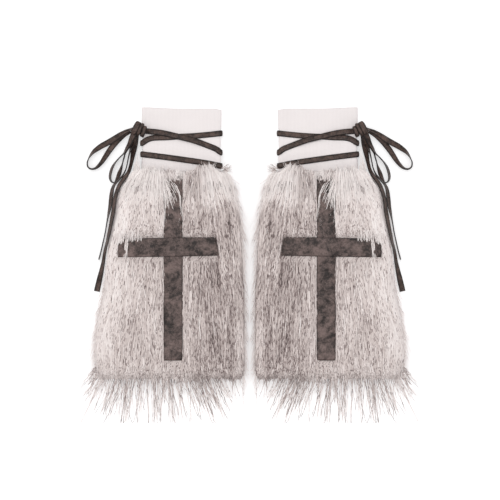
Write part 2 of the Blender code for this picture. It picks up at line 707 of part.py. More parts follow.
def top_locks(count, seed):
    """Short tufts that stand up over the lower end of the cuff."""
    shuffle = random.Random(seed)
    locks = []
    for k in range(count):
        inward = (k + 0.5) / count
        length = (25.0 - 11.0 * ease(inward / 0.55)) * shuffle.uniform(0.8, 1.1)
        locks.append({
            "angle": math.radians(16.0 - 26.0 * inward), "forward": -1, "length": length * MM,
            "curl": 0.0, "tip_up": TOP_HAIR_UP, "droop": 1.0,
        })
    return locks


def loose_hair(leg):
    outer, inner = fur_edges(FUR_HEM)
    down = FUR_HEM + SEAM_GAP
    front = hem_locks(30, 5, (44.0, 66.0), 9.5, 1.2)
    longest = max(front, key=lambda lock: lock["length"] * math.cos(lock["angle"]))
    longest["length"] = (TOTAL_LENGTH - down - STRIP_DEPTH) / math.cos(longest["angle"])
    ends = ((outer - STRIP_MARGIN, down), (inner + STRIP_MARGIN, down))
    comb(leg, "hem_hair_front", ends, FRONT_UNDERSIDE + 2.0 * MM, front)
    back_up = BACK_PILE - STRIP_HEIGHT - SEAM_GAP
    comb(leg, "hem_hair_back", ends, back_up, hem_locks(20, 9, (34.0, 52.0), 3.2, 1.0))
    ends = [(out, FUR_TOP - STRIP_MARGIN) for out in TOP_HAIR_ENDS]
    comb(leg, "top_hair", ends, cuff_top(FUR_TOP) + SEAM_GAP, top_locks(12, 3))


def leg_warmer(collection, name, side):
    leg = make_leg(collection, name, side)
    grid, hem = front_grid()
    cuff_panel(leg, "cuff_back", 0)
    cuff_panel(leg, "cuff_front", 1)
    fur_back(leg)
    fur_front(leg, grid, hem)
    cross_upright(leg, grid)
    cross_bar(leg, grid)
    lace(leg)
    loose_hair(leg)


def main():
    clear_scene()
    collection = make_collection("fur_leg_warmers")
    leg_warmer(collection, "left", -1)
    leg_warmer(collection, "right", 1)


main()
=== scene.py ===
import math

import bmesh
import bpy
import numpy as np
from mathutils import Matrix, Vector, noise
from mathutils.bvhtree import BVHTree


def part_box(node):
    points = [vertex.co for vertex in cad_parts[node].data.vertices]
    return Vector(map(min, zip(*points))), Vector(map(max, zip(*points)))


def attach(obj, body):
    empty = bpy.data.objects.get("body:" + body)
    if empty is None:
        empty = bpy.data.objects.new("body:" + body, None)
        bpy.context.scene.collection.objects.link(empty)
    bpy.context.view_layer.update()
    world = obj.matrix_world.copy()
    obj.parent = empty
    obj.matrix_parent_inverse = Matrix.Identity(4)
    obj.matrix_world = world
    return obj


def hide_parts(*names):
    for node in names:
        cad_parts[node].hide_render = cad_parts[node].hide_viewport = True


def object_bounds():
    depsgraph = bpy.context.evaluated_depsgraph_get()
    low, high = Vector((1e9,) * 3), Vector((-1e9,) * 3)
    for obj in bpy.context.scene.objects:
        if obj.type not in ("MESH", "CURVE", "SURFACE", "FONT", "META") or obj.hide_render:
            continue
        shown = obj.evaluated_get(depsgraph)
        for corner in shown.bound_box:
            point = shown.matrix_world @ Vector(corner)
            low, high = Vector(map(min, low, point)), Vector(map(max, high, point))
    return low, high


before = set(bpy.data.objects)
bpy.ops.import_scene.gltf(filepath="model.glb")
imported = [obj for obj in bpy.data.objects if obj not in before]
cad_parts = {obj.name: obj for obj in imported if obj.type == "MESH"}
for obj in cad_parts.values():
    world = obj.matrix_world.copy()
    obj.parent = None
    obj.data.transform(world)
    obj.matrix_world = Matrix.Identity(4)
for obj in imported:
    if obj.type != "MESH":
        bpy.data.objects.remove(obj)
cadLow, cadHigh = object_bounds()

mm = 0.001
tiny = 1e-12
wholeTurn = 6.28
legs = {"left": -1, "right": 1}
pair = {
    "spacing": 0.2314,  # between the middle lines of the two cuffs
    "length": 0.531,
    "photoPixels": 500,
    "photoScale": 0.0017,  # metres in the photo's frame that one of its pixels covers
    "photoMiddle": (0.0005, 0.0232),
}


def place(out, down, up):
    # the left leg warmer's own measures: out from the cuff's middle line, down from its top edge, up from 0
    return Vector((-pair["spacing"] / 2 - out, pair["length"] / 2 - down, up))


def local(spot):
    # out and down of a place
    return -pair["spacing"] / 2 - spot[0], pair["length"] / 2 - spot[1]


def ease(amount):
    amount = min(max(amount, 0.0), 1.0)
    return amount * amount * (3.0 - 2.0 * amount)


def rising(value, start, reach):
    # eases from 0 at the start to 1 past its reach
    return ease((value - start) / reach)


def hill(value, middle, reach):
    return math.exp(-((value - middle) / reach) ** 2)


def rumple(pattern, first, second=0.0):
    # smooth noise over two measures: its size, its waves a metre along each of them, its seed
    size, firstWaves, secondWaves, seed = pattern
    return size * noise.noise(Vector((first * firstWaves, second * secondWaves, seed)))


def evenly(first, last, steps):
    return [first + (last - first) * k / steps for k in range(steps + 1)]


def squared(value, power):
    # a circle's sine or cosine pushed out towards a square
    return math.copysign(abs(value) ** power, value)


def setInputs(node, values):
    for name, value in values.items():
        node.inputs[name].default_value = value


def addObject(name, data):
    thing = bpy.data.objects.new(name, data)
    bpy.context.scene.collection.objects.link(thing)
    return thing


# camera, floor and light

camera = {"distance": 4.0, "sensor": 36.0}
studio = {
    "floorSize": 9.0, "floorRough": 0.9,
    "floorColour": (0.72, 0.72, 0.725, 1.0),
    "floorGlow": 0.50,  # the table is lit from below, as for a cut-out picture
    "worldColour": (1.0, 0.995, 0.99, 1.0),
    "worldStrength": 0.70,
    "lamps": (  # name, place, size, power, colour
        ("softbox_over_camera", (0.05, 0.25, 4.7), 0.9, 42.0, (1.0, 0.99, 0.98)),
        ("softbox_top", (-0.45, 1.3, 2.4), 1.8, 15.0, (1.0, 0.99, 0.98)),
        ("softbox_left", (-2.0, 0.5, 1.5), 1.2, 8.0, (1.0, 0.98, 0.96)),
        ("softbox_right", (1.9, -0.4, 1.6), 1.2, 6.0, (0.97, 0.985, 1.0)),
    ),
}


def makeCamera():
    data = bpy.data.cameras.new("camera")
    data.sensor_width = camera["sensor"]
    data.lens = camera["sensor"] * camera["distance"] / (pair["photoPixels"] * pair["photoScale"])
    eye = addObject("camera", data)
    eye.location = (*pair["photoMiddle"], camera["distance"])
    bpy.context.scene.camera = eye


def makeStudio():
    half = studio["floorSize"] / 2
    corners = [(-half, -half, 0), (half, -half, 0), (half, half, 0), (-half, half, 0)]
    mesh = bpy.data.meshes.new("floor")
    mesh.from_pydata(corners, [], [(0, 1, 2, 3)])
    floor = addObject("floor", mesh)
    paint = bpy.data.materials.new("floor")
    paint.use_nodes = True
    setInputs(paint.node_tree.nodes["Principled BSDF"], {
        "Base Color": studio["floorColour"], "Roughness": studio["floorRough"],
        "Emission Color": studio["floorColour"], "Emission Strength": studio["floorGlow"],
    })
    mesh.materials.append(paint)
    world = bpy.data.worlds.new("studio")
    world.use_nodes = True
    setInputs(world.node_tree.nodes["Background"], {
        "Color": studio["worldColour"], "Strength": studio["worldStrength"],
    })
    bpy.context.scene.world = world
    bpy.context.scene.view_settings.view_transform = "Standard"
    for name, spot, size, power, colour in studio["lamps"]:
        lamp = bpy.data.lights.new(name, "AREA")
        lamp.size = size
        lamp.energy = power
        lamp.color = colour
        holder = addObject(name, lamp)
        holder.location = spot
        holder.rotation_euler = (-Vector(spot)).to_track_quat("-Z", "Y").to_euler()


# materials

def newGroup(name, inputs, outputs):
    group = bpy.data.node_groups.new(name, "ShaderNodeTree")
    for way, sockets in (("INPUT", inputs), ("OUTPUT", outputs)):
        for label, kind in sockets.items():
            group.interface.new_socket(label, in_out=way, socket_type="NodeSocket" + kind)
    return group, group.nodes.new("NodeGroupInput").outputs, group.nodes.new("NodeGroupOutput").inputs


def connect(tree, socket, value):
    # the value is another node's output, or a plain number, colour or vector
    if isinstance(value, bpy.types.NodeSocket):
        tree.links.new(value, socket)
    else:
        socket.default_value = value


def addNode(tree, kind, inputs, **settings):
    node = tree.nodes.new("ShaderNode" + kind)
    for name, value in settings.items():
        setattr(node, name, value)
    for key, value in inputs.items():
        connect(tree, node.inputs[key], value)
    return node


def mathNode(tree, operation, first, second=None, clamp=False):
    inputs = {0: first} if second is None else {0: first, 1: second}
    return addNode(tree, "Math", inputs, operation=operation, use_clamp=clamp).outputs[0]


def added(tree, first, second, share=None):
    # the first value and a share of the second one
    part = second if share is None else mathNode(tree, "MULTIPLY", second, share)
    return mathNode(tree, "ADD", first, part)


def ramp(tree, value, stops, smooth=True):
    # each stop is a position and a grey level or a colour
    node = addNode(tree, "ValToRGB", {"Fac": value})
    node.color_ramp.interpolation = "EASE" if smooth else "LINEAR"
    while len(node.color_ramp.elements) < len(stops):
        node.color_ramp.elements.new(0.5)
    for element, (position, colour) in zip(node.color_ramp.elements, stops):
        element.position = position
        element.color = (*colour, 1.0) if isinstance(colour, tuple) else (colour, colour, colour, 1.0)
    return node.outputs["Color"]


def mixColours(tree, kind, factor, first, second):
    inputs = {0: factor, 6: first, 7: second}
    return addNode(tree, "Mix", inputs, data_type="RGBA", blend_type=kind).outputs[2]


def objectPlace(tree, scale=None):
    where = addNode(tree, "TexCoord", {}).outputs["Object"]
    if scale is None:
        return where
    return addNode(tree, "Mapping", {"Vector": where, "Scale": scale}).outputs["Vector"]


def mapPlace(tree, name):
    # across and along the map of a strip or a hair
    mapped = addNode(tree, "UVMap", {}, uv_map=name).outputs["UV"]
    return addNode(tree, "SeparateXYZ", {"Vector": mapped}).outputs[:2]


def noiseValue(tree, vector, scale, detail=3.0, roughness=0.55, distortion=0.0):
    inputs = {
        "Vector": vector, "Scale": scale, "Detail": detail, "Roughness": roughness, "Distortion": distortion,
    }
    return addNode(tree, "TexNoise", inputs).outputs["Fac"]


def bands(tree, vector, direction, spacing, distortion, detail=2.0, detailScale=1.0):
    # a wave texture's band is 0.314 wide at scale 1, and a rib and its groove take up two spacings
    inputs = {
        "Vector": vector, "Scale": 0.314 / spacing / 2, "Distortion": distortion, "Detail": detail,
        "Detail Scale": detailScale,
    }
    return addNode(tree, "TexWave", inputs, bands_direction=direction).outputs["Fac"]


def bump(tree, height, distance, strength=1.0):
    inputs = {"Height": height, "Distance": distance, "Strength": strength}
    return addNode(tree, "Bump", inputs).outputs["Normal"]


hairColour = {
    "columns": 64, "ticksAlong": 13.0, "rootShade": 0.88, "shadeEnd": 0.3, "drift": 0.22,
    "mapEdge": (0.12, 0.01),  # what a hair's map keeps free in its column: at each side, at each end
    "tickShare": ((0.0, 0.0), (0.15, 0.05), (0.35, 0.24), (0.6, 0.32), (1.0, 0.7)),
    "tickDepth": ((0.0, (0.22, 0.19, 0.19)), (0.6, (0.56, 0.52, 0.52))),
    "ground": (
        (0.0, (0.88, 0.83, 0.815)), (0.12, (0.80, 0.735, 0.72)), (0.3, (0.66, 0.585, 0.565)),
        (0.6, (0.47, 0.40, 0.385)), (0.85, (0.33, 0.27, 0.26)), (1.0, (0.20, 0.16, 0.155)),
    ),
}


def tickedHairGroup():
    # the colour of one hair: a pale ground by its kind, crossed by dark ticks along its length
    group, inward, outward = newGroup(
        "ticked_hair", {"Column": "Float", "Along": "Float", "Kind": "Float", "Ticked": "Float"},
        {"Colour": "Color"})
    column = mathNode(group, "FLOOR", inward["Column"])
    chanceOfColumn = addNode(group, "TexWhiteNoise", {"W": column}, noise_dimensions="1D").outputs["Value"]
    cell = mathNode(group, "FLOOR", added(group, inward["Along"], chanceOfColumn))
    both = addNode(group, "CombineXYZ", {"X": column, "Y": cell}).outputs["Vector"]
    chance = addNode(group, "TexWhiteNoise", {"Vector": both}, noise_dimensions="2D").outputs
    often = mathNode(group, "MULTIPLY", ramp(group, inward["Kind"], hairColour["tickShare"], smooth=False),
                     inward["Ticked"])
    tick = mathNode(group, "LESS_THAN", chance["Value"], often)
    drift = mathNode(group, "MULTIPLY", mathNode(group, "SUBTRACT", chanceOfColumn, 0.5), hairColour["drift"])
    tone = mathNode(group, "ADD", inward["Kind"], drift, clamp=True)
    ground = ramp(group, tone, hairColour["ground"], smooth=False)
    depth = ramp(group, chance["Color"], hairColour["tickDepth"], smooth=False)
    dark = mixColours(group, "MULTIPLY", 1.0, ground, depth)
    connect(group, outward["Colour"], mixColours(group, "MIX", tick, ground, dark))
    return group


def hairMaterial(group, name, ticked):
    # a hair's kind is across its map and its length is along it
    material, tree, shader = newMaterial(name, 0.7, specular=0.25, sheen=0.15)
    kind, along = mapPlace(tree, "OFBake")
    fur = addNode(tree, "Group", {
        "Column": mathNode(tree, "MULTIPLY", kind, float(hairColour["columns"])),
        "Along": mathNode(tree, "MULTIPLY", along, hairColour["ticksAlong"]), "Kind": kind, "Ticked": ticked,
    }, node_tree=group)
    shade = ramp(tree, along, ((0.0, hairColour["rootShade"]), (hairColour["shadeEnd"], 1.0)))
    connect(tree, shader["Base Color"], mixColours(tree, "MULTIPLY", 1.0, fur.outputs["Colour"], shade))
    return material


def newMaterial(name, roughness, specular, sheen=0.0):
    material = bpy.data.materials.new(name)
    material.use_nodes = True
    shader = material.node_tree.nodes["Principled BSDF"]
    setInputs(shader, {"Roughness": roughness, "Specular IOR Level": specular, "Sheen Weight": sheen})
    return material, material.node_tree, shader.inputs


pileColour = {
    "columnWidth": 1.1 * mm, "tickLength": 6.0 * mm, "wander": 9.0 * mm, "flank": 1.3, "patches": 0.3,
    "shade": 0.9, "wanderWaves": 40.0, "patchWaves": 55.0, "strandWaves": 900.0, "relief": 1.2 * mm,
    "lower": ((0.45, 0.0), (0.58, 0.26)),  # from here on down the pile is darker
    "inner": ((0.05, 0.14), (0.13, 0.0)),  # darker between the legs
    "outer": ((0.215, 0.06), (0.250, 0.26)),  # and paler along the outer side: the fur's own paler outer band, and painted light against the shade on the outer flank
}


def pileMaterial(group):
    # the dense pile under the drawn hairs, in streaks that run down the leg
    material, tree, shader = newMaterial("pile", 0.9, specular=0.15, sheen=0.15)
    x, y, z = addNode(tree, "SeparateXYZ", {"Vector": objectPlace(tree)}).outputs
    wander = noiseValue(tree, objectPlace(tree, (1.0, 0.35, 1.0)), pileColour["wanderWaves"], detail=2.0)
    patches = noiseValue(tree, objectPlace(tree, (1.0, 0.3, 1.0)), pileColour["patchWaves"])
    strands = noiseValue(tree, objectPlace(tree, (1.0, 0.06, 1.0)), pileColour["strandWaves"], detail=2.0)
    side = mathNode(tree, "ABSOLUTE", x)
    lower = ramp(tree, mathNode(tree, "SUBTRACT", 0.6, y), pileColour["lower"])
    darker = added(tree, lower, ramp(tree, side, pileColour["inner"]))
    kind = added(tree, darker, patches, pileColour["patches"])
    around = added(tree, added(tree, x, z, pileColour["flank"]), wander, pileColour["wander"])
    # the kind turns paler along the outer side: partly the fur's own pale band, partly painted light against
    # the shade on the outer flank
    fur = addNode(tree, "Group", {
        "Column": mathNode(tree, "DIVIDE", around, pileColour["columnWidth"]),
        "Along": mathNode(tree, "DIVIDE", y, pileColour["tickLength"]),
        "Kind": mathNode(tree, "SUBTRACT", kind, ramp(tree, side, pileColour["outer"]), clamp=True),
        "Ticked": 1.0,
    }, node_tree=group)
    shade = pileColour["shade"]
    colour = mixColours(tree, "MULTIPLY", 1.0, fur.outputs["Colour"], (shade, shade, shade, 1.0))
    connect(tree, shader["Base Color"], colour)
    connect(tree, shader["Normal"], bump(tree, strands, pileColour["relief"]))
    return material


knitColour = {
    "ribs": 1.15 * mm, "loops": 0.8 * mm, "clouds": 30.0, "fuzz": 1500.0, "relief": 0.25 * mm,
    "loopShare": 0.45, "stitchShare": 0.45, "cloudShare": 0.5,
    "fuzzShare": 0.3, "colour": (0.78, 0.735, 0.735), "shadow": (0.715, 0.67, 0.67),
}


def knitMaterial():
    material, tree, shader = newMaterial("knit", 0.92, specular=0.12, sheen=0.12)
    where = objectPlace(tree)
    ribs = bands(tree, where, "X", knitColour["ribs"], 0.6, detail=1.0, detailScale=220.0)
    stitch = added(tree, ribs, bands(tree, where, "Y", knitColour["loops"], 0.8), knitColour["loopShare"])
    clouds = noiseValue(tree, where, knitColour["clouds"])
    tone = mathNode(tree, "MULTIPLY", stitch, knitColour["stitchShare"])
    tone = added(tree, tone, clouds, knitColour["cloudShare"])
    colour = ramp(tree, tone, ((0.2, knitColour["shadow"]), (0.75, knitColour["colour"])))
    connect(tree, shader["Base Color"], colour)
    fuzz = noiseValue(tree, where, knitColour["fuzz"], detail=1.0)
    height = added(tree, stitch, fuzz, knitColour["fuzzShare"])
    connect(tree, shader["Normal"], bump(tree, height, knitColour["relief"], strength=0.6))
    return material


leatherColour = {
    "fine": 900.0, "fineShare": 0.5, "ridges": 75.0, "creaseShade": 0.16, "wornRougher": 0.16,
    "grainShare": 0.25, "relief": 0.22 * mm,
    "cross": {
        "dark": (0.014, 0.009, 0.008), "pale": (0.168, 0.122, 0.113), "grain": 620.0, "cloud": 42.0,
        "rough": 0.44, "edge": (0.88, 0.97), "edgeShade": 0.45,
    },
    "lace": {
        "dark": (0.016, 0.009, 0.007), "pale": (0.100, 0.065, 0.054), "grain": 900.0, "cloud": 70.0,
        "rough": 0.36, "edge": (0.45, 0.90), "edgeShade": 0.18,
    },
}


def leatherGroup():
    # pebbled grain with fine creases, and a cloudy wear mask
    group, inward, outward = newGroup(
        "worn_leather", {"Vector": "Vector", "Grain": "Float", "Cloud": "Float"},
        {"Height": "Float", "Wear": "Float", "Crease": "Float"})
    vector = inward["Vector"]
    inputs = {"Vector": vector, "Scale": inward["Grain"]}
    pebbles = addNode(group, "TexVoronoi", inputs, feature="DISTANCE_TO_EDGE").outputs["Distance"]
    rounded = ramp(group, pebbles, ((0.0, 0.0), (0.35, 1.0)))
    fine = noiseValue(group, vector, leatherColour["fine"], detail=2.0)
    connect(group, outward["Height"], added(group, rounded, fine, leatherColour["fineShare"]))
    cloud = noiseValue(group, vector, inward["Cloud"], detail=7.0, roughness=0.84, distortion=0.2)
    connect(group, outward["Wear"], ramp(group, cloud, ((0.42, 0.0), (0.60, 1.0)), smooth=False))
    ridges = noiseValue(group, vector, leatherColour["ridges"], detail=4.0, roughness=0.5, distortion=1.6)
    thin = mathNode(group, "ABSOLUTE", mathNode(group, "SUBTRACT", ridges, 0.5))
    connect(group, outward["Crease"], ramp(group, thin, ((0.0, 1.0), (0.035, 0.0))))
    return group


def leatherMaterial(name, group):
    values = leatherColour[name]
    material, tree, shader = newMaterial(name + "_leather", values["rough"], specular=0.24)
    inputs = {"Vector": objectPlace(tree), "Grain": values["grain"], "Cloud": values["cloud"]}
    skin = addNode(tree, "Group", inputs, node_tree=group).outputs
    dark, pale = (*values["dark"], 1.0), (*values["pale"], 1.0)
    colour = mixColours(tree, "MIX", skin["Wear"], dark, pale)
    # painted shade: the leather is darkened in its creases
    creaseShade = mathNode(tree, "MULTIPLY", skin["Crease"], leatherColour["creaseShade"])
    creaseShaded = mixColours(tree, "MIX", creaseShade, colour, dark)
    offMiddle = mathNode(tree, "ABSOLUTE", mathNode(tree, "SUBTRACT", mapPlace(tree, "strip")[0], 0.5))
    rim = mathNode(tree, "MULTIPLY", offMiddle, 2.0)
    start, end = values["edge"]
    shade = ramp(tree, rim, ((start, 1.0), (end, values["edgeShade"])))
    connect(tree, shader["Base Color"], mixColours(tree, "MULTIPLY", 1.0, creaseShaded, shade))
    rough = added(tree, values["rough"], skin["Wear"], leatherColour["wornRougher"])
    connect(tree, shader["Roughness"], rough)
    grain = mathNode(tree, "MULTIPLY", skin["Height"], leatherColour["grainShare"])
    folds = mathNode(tree, "SUBTRACT", grain, skin["Crease"])
    connect(tree, shader["Normal"], bump(tree, folds, leatherColour["relief"], strength=0.7))
    return material


hairShades = tickedHairGroup()
leatherShades = leatherGroup()
materials = {
    "hair": hairMaterial(hairShades, "hair", 1.0),
    "fringe": hairMaterial(hairShades, "fringe_hair", 2.3),
    "pile": pileMaterial(hairShades),
    "knit": knitMaterial(),
    "cross": leatherMaterial("cross", leatherShades),
    "lace": leatherMaterial("lace", leatherShades),
}


# building a piece for both legs: the right leg warmer mirrors the left one

def addPair(name, points, faces, finish, nodes, uvs=None, mapName="OFBake", sharp=None):
    made = []
    points = np.asarray(points, float)
    for leg, side in legs.items():
        mesh = bpy.data.meshes.new(leg + "_" + name)
        if side < 0:
            mesh.from_pydata(points.tolist(), [], faces)
        else:
            mesh.from_pydata((points * (-1, 1, 1)).tolist(), [], [face[::-1] for face in faces])
        if uvs is not None:
            layer = mesh.uv_layers.new(name=mapName)
            flat = uvs if side < 0 else [loop for face in mirroredLoops(faces, uvs) for loop in face]
            layer.data.foreach_set("uv", np.asarray(flat, np.float32).ravel())
        mesh.shade_smooth()
        if sharp:
            mesh.set_sharp_from_angle(angle=math.radians(sharp))
        mesh.materials.append(materials[finish])
        piece = addObject(leg + "_" + name, mesh)
        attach(piece, "root")
        if nodes:
            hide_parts(*[leg + "_" + node for node in nodes])
        made.append(piece)
    return made


def mirroredLoops(faces, uvs):
    start = 0
    for face in faces:
        yield uvs[start:start + len(face)][::-1]
        start += len(face)


def evaluatedTree(thing):
    mesh = thing.evaluated_get(bpy.context.evaluated_depsgraph_get()).to_mesh()
    points = [thing.matrix_world @ vert.co for vert in mesh.vertices]
    return BVHTree.FromPolygons(points, [list(polygon.vertices) for polygon in mesh.polygons])


def ringFaces(rings, around, closed=False):
    # the faces between rings of points, each ring to the next one, and the last to the first if closed
    faces = []
    for k in range(rings if closed else rings - 1):
        here, ahead = k * around, (k + 1) % rings * around
        for j in range(around):
            beside = (j + 1) % around
            faces.append((here + j, here + beside, ahead + beside, ahead + j))
    return faces


# straps: one flat leather strip for the lace, and the two strips of the cross

strapForm = {"edge": 0.45, "face": 0.6}  # how square its section is, across and through it


def strapSolid(centres, sideways, width, thickness, relief, around=12):
    # a closed strap along its centres with rounded edges; relief(along, across) lifts its upper face
    points, spread = [], []
    count = len(centres)
    along = 0.0
    for k in range(count):
        ahead = centres[min(k + 1, count - 1)] - centres[max(k - 1, 0)]
        side = sideways[k].normalized()
        over = ahead.cross(side).normalized()
        if k:
            along += (centres[k] - centres[k - 1]).length
        for j in range(around):
            angle = 2 * math.pi * j / around
            across = squared(math.cos(angle), strapForm["edge"])
            lift = squared(math.sin(angle), strapForm["face"]) * thickness / 2
            lift += relief(along, across * width / 2)
            points.append(centres[k] + side * across * width / 2 + over * lift)
            spread.append((0.5 + across / 2, along))
    ends = [tuple(reversed(range(around))), tuple(range((count - 1) * around, count * around))]
    faces = outwards(points, ringFaces(count, around) + ends)
    return points, faces, loopMap(faces, spread)


def loopMap(faces, spread):
    # a map's place for each corner of each face: across the strip and along it
    return [spread[i] for face in faces for i in face]


def outwards(points, faces):
    # faces turned so that the closed solid holds a positive volume
    volume = 0.0
    for face in faces:
        first = points[face[0]]
        for b, c in zip(face[1:], face[2:]):
            volume += first.dot(points[b].cross(points[c]))
    return faces if volume > 0 else [face[::-1] for face in faces]


def smoothRoute(points, count):
    # points at even steps on a smooth curve through a route's own points
    lengths = [0.0]
    for first, second in zip(points, points[1:]):
        lengths.append(lengths[-1] + math.dist(first[:2], second[:2]))
    route = []
    for k in range(count):
        s = lengths[-1] * k / (count - 1)
        i = max(j for j in range(len(points) - 1) if lengths[j] <= s + tiny)
        before, after = max(i - 1, 0), min(i + 2, len(points) - 1)
        step = lengths[i + 1] - lengths[i]
        t = (s - lengths[i]) / step
        row = []
        for p, q, r, e in zip(points[before], points[i], points[i + 1], points[after]):
            slopeIn = (r - p) / (lengths[i + 1] - lengths[before]) * step
            slopeOut = (e - q) / (lengths[after] - lengths[i]) * step
            row.append((2 * t**3 - 3 * t**2 + 1) * q + (t**3 - 2 * t**2 + t) * slopeIn
                       + (3 * t**2 - 2 * t**3) * r + (t**3 - t**2) * slopeOut)
        route.append(row)
    return route


# cuff: a double knit band laid flat, one tube with soft side folds

cuff = {
    "width": 0.136, "length": 0.1102, "wall": 2.4 * mm, "gap": 0.3 * mm,
    "rest": 5.0 * mm, "rampEnd": 0.104, "rise": 11.6 * mm,
    "sag": (2.4 * mm, 1.8 * mm), "sagReach": 0.45, "sagCorner": (0.93, 0.07), "sagRows": 5,
    "pinch": (1.2 * mm, 0.062, 0.026),  # depth, down, reach
    "dent": 2.0 * mm, "dentReach": 7 * mm,
    "dents": {1: (0.0412, 0.0612, 0.0802), -1: (0.0444, 0.0750, 0.1000)},  # outer and inner edge
    "puff": 1.1 * mm, "puffReach": 8.0 * mm, "puffStart": 9 * mm, "underLace": 4.6 * mm,
    "folds": (  # out, down, half width, half length, depth
        (0.045, 0.029, 2.6 * mm, 10 * mm, 1.5 * mm),
        (0.041, 0.066, 2.6 * mm, 9 * mm, 1.4 * mm),
        (0.052, 0.018, 3.5 * mm, 8 * mm, 0.5 * mm),
        (-0.020, 0.085, 5.0 * mm, 9 * mm, 0.4 * mm),
    ),
    "uneven": (0.35 * mm, 60, 38, 3.1), "flatEdge": 8,
    "columns": 36, "foldSteps": 5, "rows": 40,
}


def cuffUnderside(down):
    return cuff["rise"] * rising(down, cuff["rest"], cuff["rampEnd"] - cuff["rest"])


def cuffTop(down):
    return cuffUnderside(down) + 2 * cuff["wall"] + cuff["gap"]


laceFront = {  # middle lines of the lace over the cuff: out, down
    "upper": ((0.0683, 0.0612), (0.0582, 0.0549), (0.0484, 0.0523), (0.0259, 0.0514), (0.0062, 0.0502),
              (-0.0151, 0.0493), (-0.0433, 0.0471), (-0.0680, 0.0444)),
    "diagonal": ((0.0650, 0.0402), (0.0342, 0.0437), (0.0062, 0.0500), (-0.0220, 0.0570), (-0.0503, 0.0672),
                 (-0.0610, 0.0718), (-0.0680, 0.0772)),
    "lower": ((0.0680, 0.0802), (0.0273, 0.0852), (-0.0151, 0.0910), (-0.0431, 0.0952), (-0.0680, 0.1000)),
}


def strapDistance(out, down):
    # distance from a place on the cuff to the nearest pass of the lace
    nearest = 1.0
    for route in laceFront.values():
        for (x0, y0), (x1, y1) in zip(route, route[1:]):
            dx, dy = x1 - x0, y1 - y0
            t = min(max(((out - x0) * dx + (down - y0) * dy) / (dx * dx + dy * dy), 0.0), 1.0)
            nearest = min(nearest, math.hypot(out - x0 - t * dx, down - y0 - t * dy))
    return nearest


def cuffSwell(out, down):
    # the knit puffs up between the passes of the lace and dips in a few soft folds
    away = max(strapDistance(out, down) - cuff["underLace"], 0.0)
    swell = cuff["puff"] * (1.0 - hill(away, 0.0, cuff["puffReach"]))
    swell *= ease(down / cuff["puffStart"])
    for middle, below, wide, long, depth in cuff["folds"]:
        swell -= depth * math.exp(-((out - middle) / wide) ** 2 - ((down - below) / long) ** 2)
    return swell + rumple(cuff["uneven"], out, down)


def cuffDip(across):
    # the top edge hangs down from its outer corner
    gone = (1.0 - across) / 2
    hang, corner = cuff["sag"]
    return hang * ease(gone / cuff["sagReach"]) + corner * rising(gone, *cuff["sagCorner"])


def cuffHalf(side, down):
    # half the width of the cuff, drawn in where the lace goes round its edge
    depth, where, reach = cuff["pinch"]
    half = cuff["width"] / 2 - depth * hill(down, where, reach)
    for dent in cuff["dents"][side]:
        half -= cuff["dent"] * hill(down, dent, cuff["dentReach"])
    return half


def cuffRing(down, dip):
    # one ring of the tube: over its front face, round the fold, and back along its underside
    wall, gap, columns, turns = cuff["wall"], cuff["gap"], cuff["columns"], cuff["foldSteps"]
    bend = (wall + gap) / 2
    halves = {side: cuffHalf(side, down) - wall / 2 - bend for side in (1, -1)}
    middle = cuffUnderside(down) + wall + gap / 2
    ring = []
    for face in (1, -1):
        for k in range(columns + 1):
            across = face * (1.0 - 2.0 * k / columns)
            out = halves[1 if across > 0 else -1] * across
            lowered = min(down + dip * cuffDip(across), cuff["length"])
            up = middle + face * bend
            if face > 0:
                up += ease((1.0 - abs(across)) * cuff["flatEdge"]) * cuffSwell(out, lowered)
            ring.append(place(out, lowered, up))
        for k in range(1, turns):
            angle = math.pi * k / turns
            out = -face * (halves[-face] + bend * math.sin(angle))
            ring.append(place(out, down + dip * cuffDip(-face), middle + face * bend * math.cos(angle)))
    return ring


def makeCuff():
    rings = []
    for row in range(cuff["rows"] + 1):
        rings.append(cuffRing(cuff["length"] * row / cuff["rows"], max(1.0 - row / cuff["sagRows"], 0.0)))
    points = [spot for ring in rings for spot in ring]
    made = addPair("cuff", points, ringFaces(len(rings), len(rings[0])), "knit", ("cuff_front", "cuff_back"))
    for piece in made:
        wallMaker = piece.modifiers.new("wall", "SOLIDIFY")
        wallMaker.thickness = cuff["wall"]
        wallMaker.offset = 0.0
    print("cuffs made")


# lace: wound three times round the cuff, tied in a bow at the outer side

lace = {
    "width": 10.0 * mm, "thickness": 1.5 * mm, "gap": 0.3 * mm, "crown": 0.75 * mm,
    "uneven": (0.16 * mm, 90, 160), "step": 2.2 * mm, "steps": 60,
    "edge": 0.0664, "drawnEdge": 0.068, "edgeReach": 2.2 * mm, "bendAngles": 15,
    "crossingFront": (10.0 * mm, 50.0 * mm, 10.0 * mm),  # one pass's rise over another: middle, reach, slope
    "crossingBack": (9.5 * mm, 51.5 * mm, 13.5 * mm),
}


def laceRelief(seed):
    # a hand-cut strip: slightly cupped, never quite even
    def relief(along, across):
        cupped = lace["crown"] * (1.0 - (2 * across / lace["width"]) ** 2)
        return cupped + rumple((*lace["uneven"], seed), along, across)
    return relief


def crossingShare(crossing, out):
    middle, reach, fade = crossing
    return ease((reach - abs(out - middle)) / fade)


def surfaceStrip(points, height):
    centres = [Vector((out, down, height(down) + lift)) for out, down, lift in points]
    last = len(centres) - 1
    sideways = []
    for index, centre in enumerate(centres):
        ahead = centres[min(index + 1, last)] - centres[max(index - 1, 0)]
        if index in (0, last):
            ahead = Vector((ahead.x, 0.0, 0.0))
        slope = (height(centre.y + mm) - height(centre.y - mm)) / (2 * mm)
        sideways.append(Vector((0.0, -slope, 1.0)).normalized().cross(ahead).normalized())
    return centres, sideways


